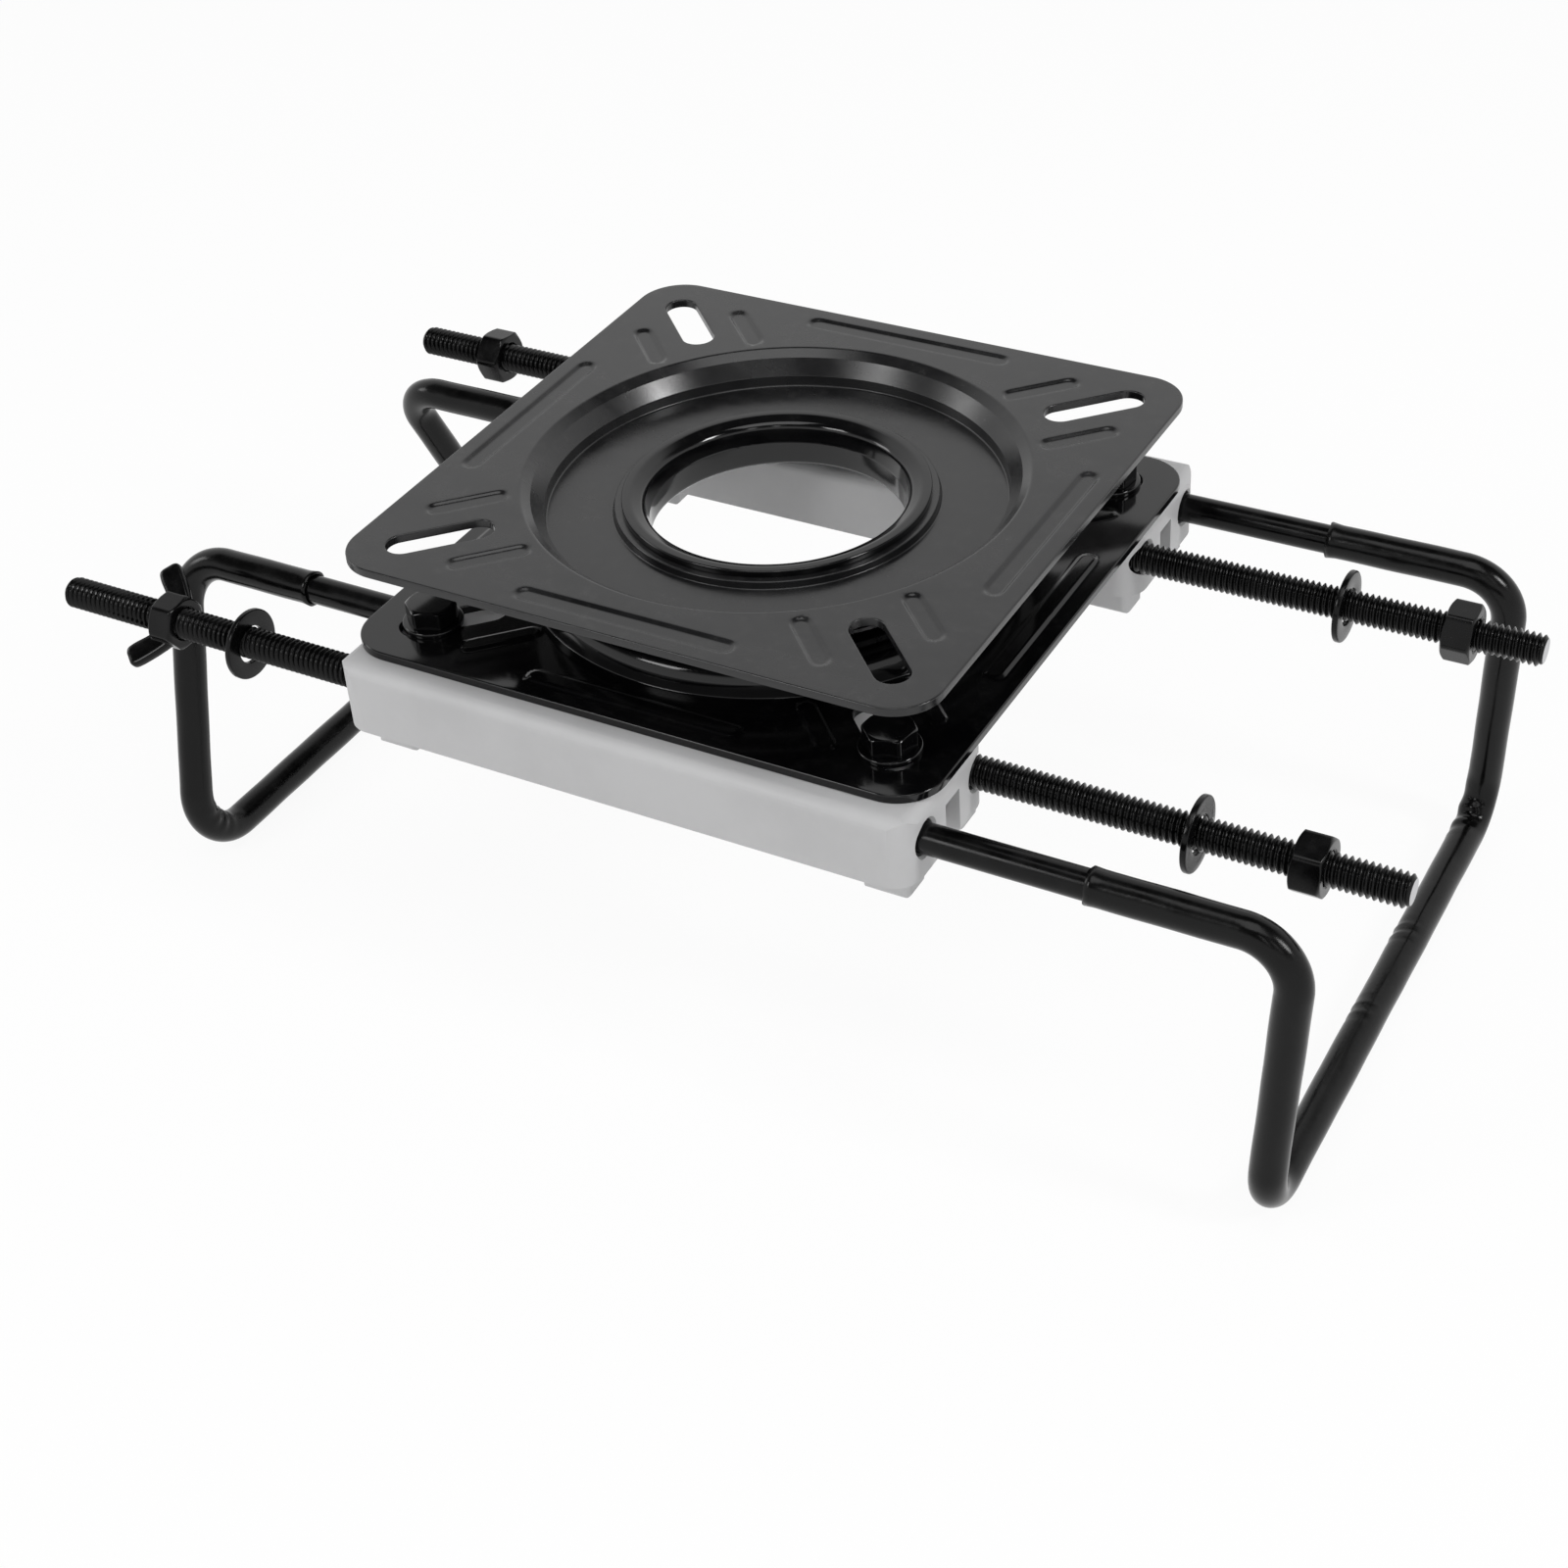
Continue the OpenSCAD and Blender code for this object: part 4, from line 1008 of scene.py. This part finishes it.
for nodeName in ("ball_cage", "bearing_balls", "bolt_nuts"):
    onlyFinish(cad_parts[nodeName].data, finishes["bareSteel"])


# Camera, floor and light

cameraPlace = {"location": (327.64, -545.80, 430.70), "azimuth": 31.33, "elevation": 37.24, "roll": -4.19,
               "lens": 60.79}


def makeCamera(place):
    a, e, r = (math.radians(place[k]) for k in ("azimuth", "elevation", "roll"))
    back = Vector((math.sin(a) * math.cos(e), -math.cos(a) * math.cos(e), math.sin(e)))
    right = Vector((math.cos(a), math.sin(a), 0.0))
    up = back.cross(right)
    right, up = right * math.cos(r) + up * math.sin(r), up * math.cos(r) - right * math.sin(r)
    data = bpy.data.cameras.new("photoCamera")
    data.lens = place["lens"]
    data.sensor_width = 36.0
    data.clip_start, data.clip_end = 0.01, 20.0
    camera = linkedObject("photoCamera", data)
    turn = Matrix([[right[i], up[i], back[i]] for i in range(3)]).to_4x4()
    camera.matrix_world = Matrix.Translation(Vector(place["location"]) * mm) @ turn
    bpy.context.scene.camera = camera


studio = {
    "floorColour": 0.90, "floorGlow": 0.93, "floorHalf": 6000.0, "horizon": 0.96, "ceiling": 0.05,
    "farSide": (-0.52, 0.854, 0.0), "farLift": 0.58, "bandLow": 0.34, "bandHigh": 0.56,
    "lamps": [
        {"name": "overheadBox", "at": (0.20, -0.34, 1.60), "power": 8.2, "size": (1.05, 1.05)},
        {"name": "leftBox", "at": (-0.58, -1.10, 0.94), "power": 4.4, "size": (0.44, 0.40)},
        {"name": "rightBox", "at": (1.24, 0.01, 0.94), "power": 8.0, "size": (0.26, 0.40)},
        {"name": "endBox", "at": (-1.40, -0.40, 0.60), "power": 2.2, "size": (0.40, 0.40)},
        {"name": "nearCard", "at": (0.62, -1.22, 1.05), "power": 0.5, "size": (0.12, 0.50)},
        {"name": "sideCard", "at": (1.08, -0.92, 1.05), "power": 0.7, "size": (0.20, 0.50)},
    ],
}


def makeStudio(light):
    size = light["floorHalf"]
    corners = [(x * size, y * size, seatBase["floor"]) for x, y in ((-1, -1), (1, -1), (1, 1), (-1, 1))]
    floorFinish = bpy.data.materials.new("paleFloor")
    floorFinish.use_nodes = True
    tree = floorFinish.node_tree
    shader, out = tree.nodes["Principled BSDF"], tree.nodes["Material Output"]
    shader.inputs["Base Color"].default_value = (light["floorColour"],) * 3 + (1.0,)
    shader.inputs["Roughness"].default_value = 1.0
    shader.inputs["Specular IOR Level"].default_value = 0.0
    path = addNode(tree, "ShaderNodeLightPath").outputs
    seen = mathNode(tree, "ADD", path["Is Camera Ray"], path["Is Glossy Ray"])
    seen = mathNode(tree, "ADD", seen, path["Is Transmission Ray"], clamp=True)
    share = addNode(tree, "ShaderNodeMixShader", {
        0: mathNode(tree, "MULTIPLY", seen, light["floorGlow"]), 1: shader.outputs[0],
        2: addNode(tree, "ShaderNodeEmission").outputs[0]})
    feed(tree, out.inputs["Surface"], share.outputs[0])
    floor = newObject("floor", corners, [(0, 1, 2, 3)], [floorFinish], smooth=False)
    world = bpy.data.worlds.new("studioWorld")
    bpy.context.scene.world = world
    world.use_nodes = True
    tree = world.node_tree
    background = tree.nodes["Background"]
    background.inputs["Color"].default_value = (1.0, 1.0, 1.0, 1.0)
    direction = addNode(tree, "ShaderNodeTexCoord").outputs["Generated"]
    height = addNode(tree, "ShaderNodeSeparateXYZ", {0: direction}).outputs["Z"]
    away = addNode(tree, "ShaderNodeVectorMath", {0: direction, 1: light["farSide"]}, operation="DOT_PRODUCT")
    lift = mathNode(tree, "MAXIMUM", away.outputs["Value"], 0.0)
    lift = mathNode(tree, "MULTIPLY", lift, light["farLift"])
    rise = mathNode(tree, "SUBTRACT", height, lift)  # the pale backdrop reaches higher on the far side
    strength = mapRange(tree, rise, light["bandLow"], light["bandHigh"], light["horizon"], light["ceiling"])
    feed(tree, background.inputs["Strength"], strength)
    for lamp in light["lamps"]:
        data = bpy.data.lights.new(lamp["name"], "AREA")
        data.shape = "RECTANGLE"
        data.size, data.size_y = lamp["size"]
        data.energy = lamp["power"]
        holder = linkedObject(lamp["name"], data)
        holder.location = lamp["at"]
        holder.rotation_euler = (-Vector(lamp["at"])).to_track_quat("-Z", "Y").to_euler()


makeCamera(cameraPlace)
makeStudio(studio)
bpy.context.scene.view_settings.view_transform = "Standard"
bpy.context.view_layer.update()
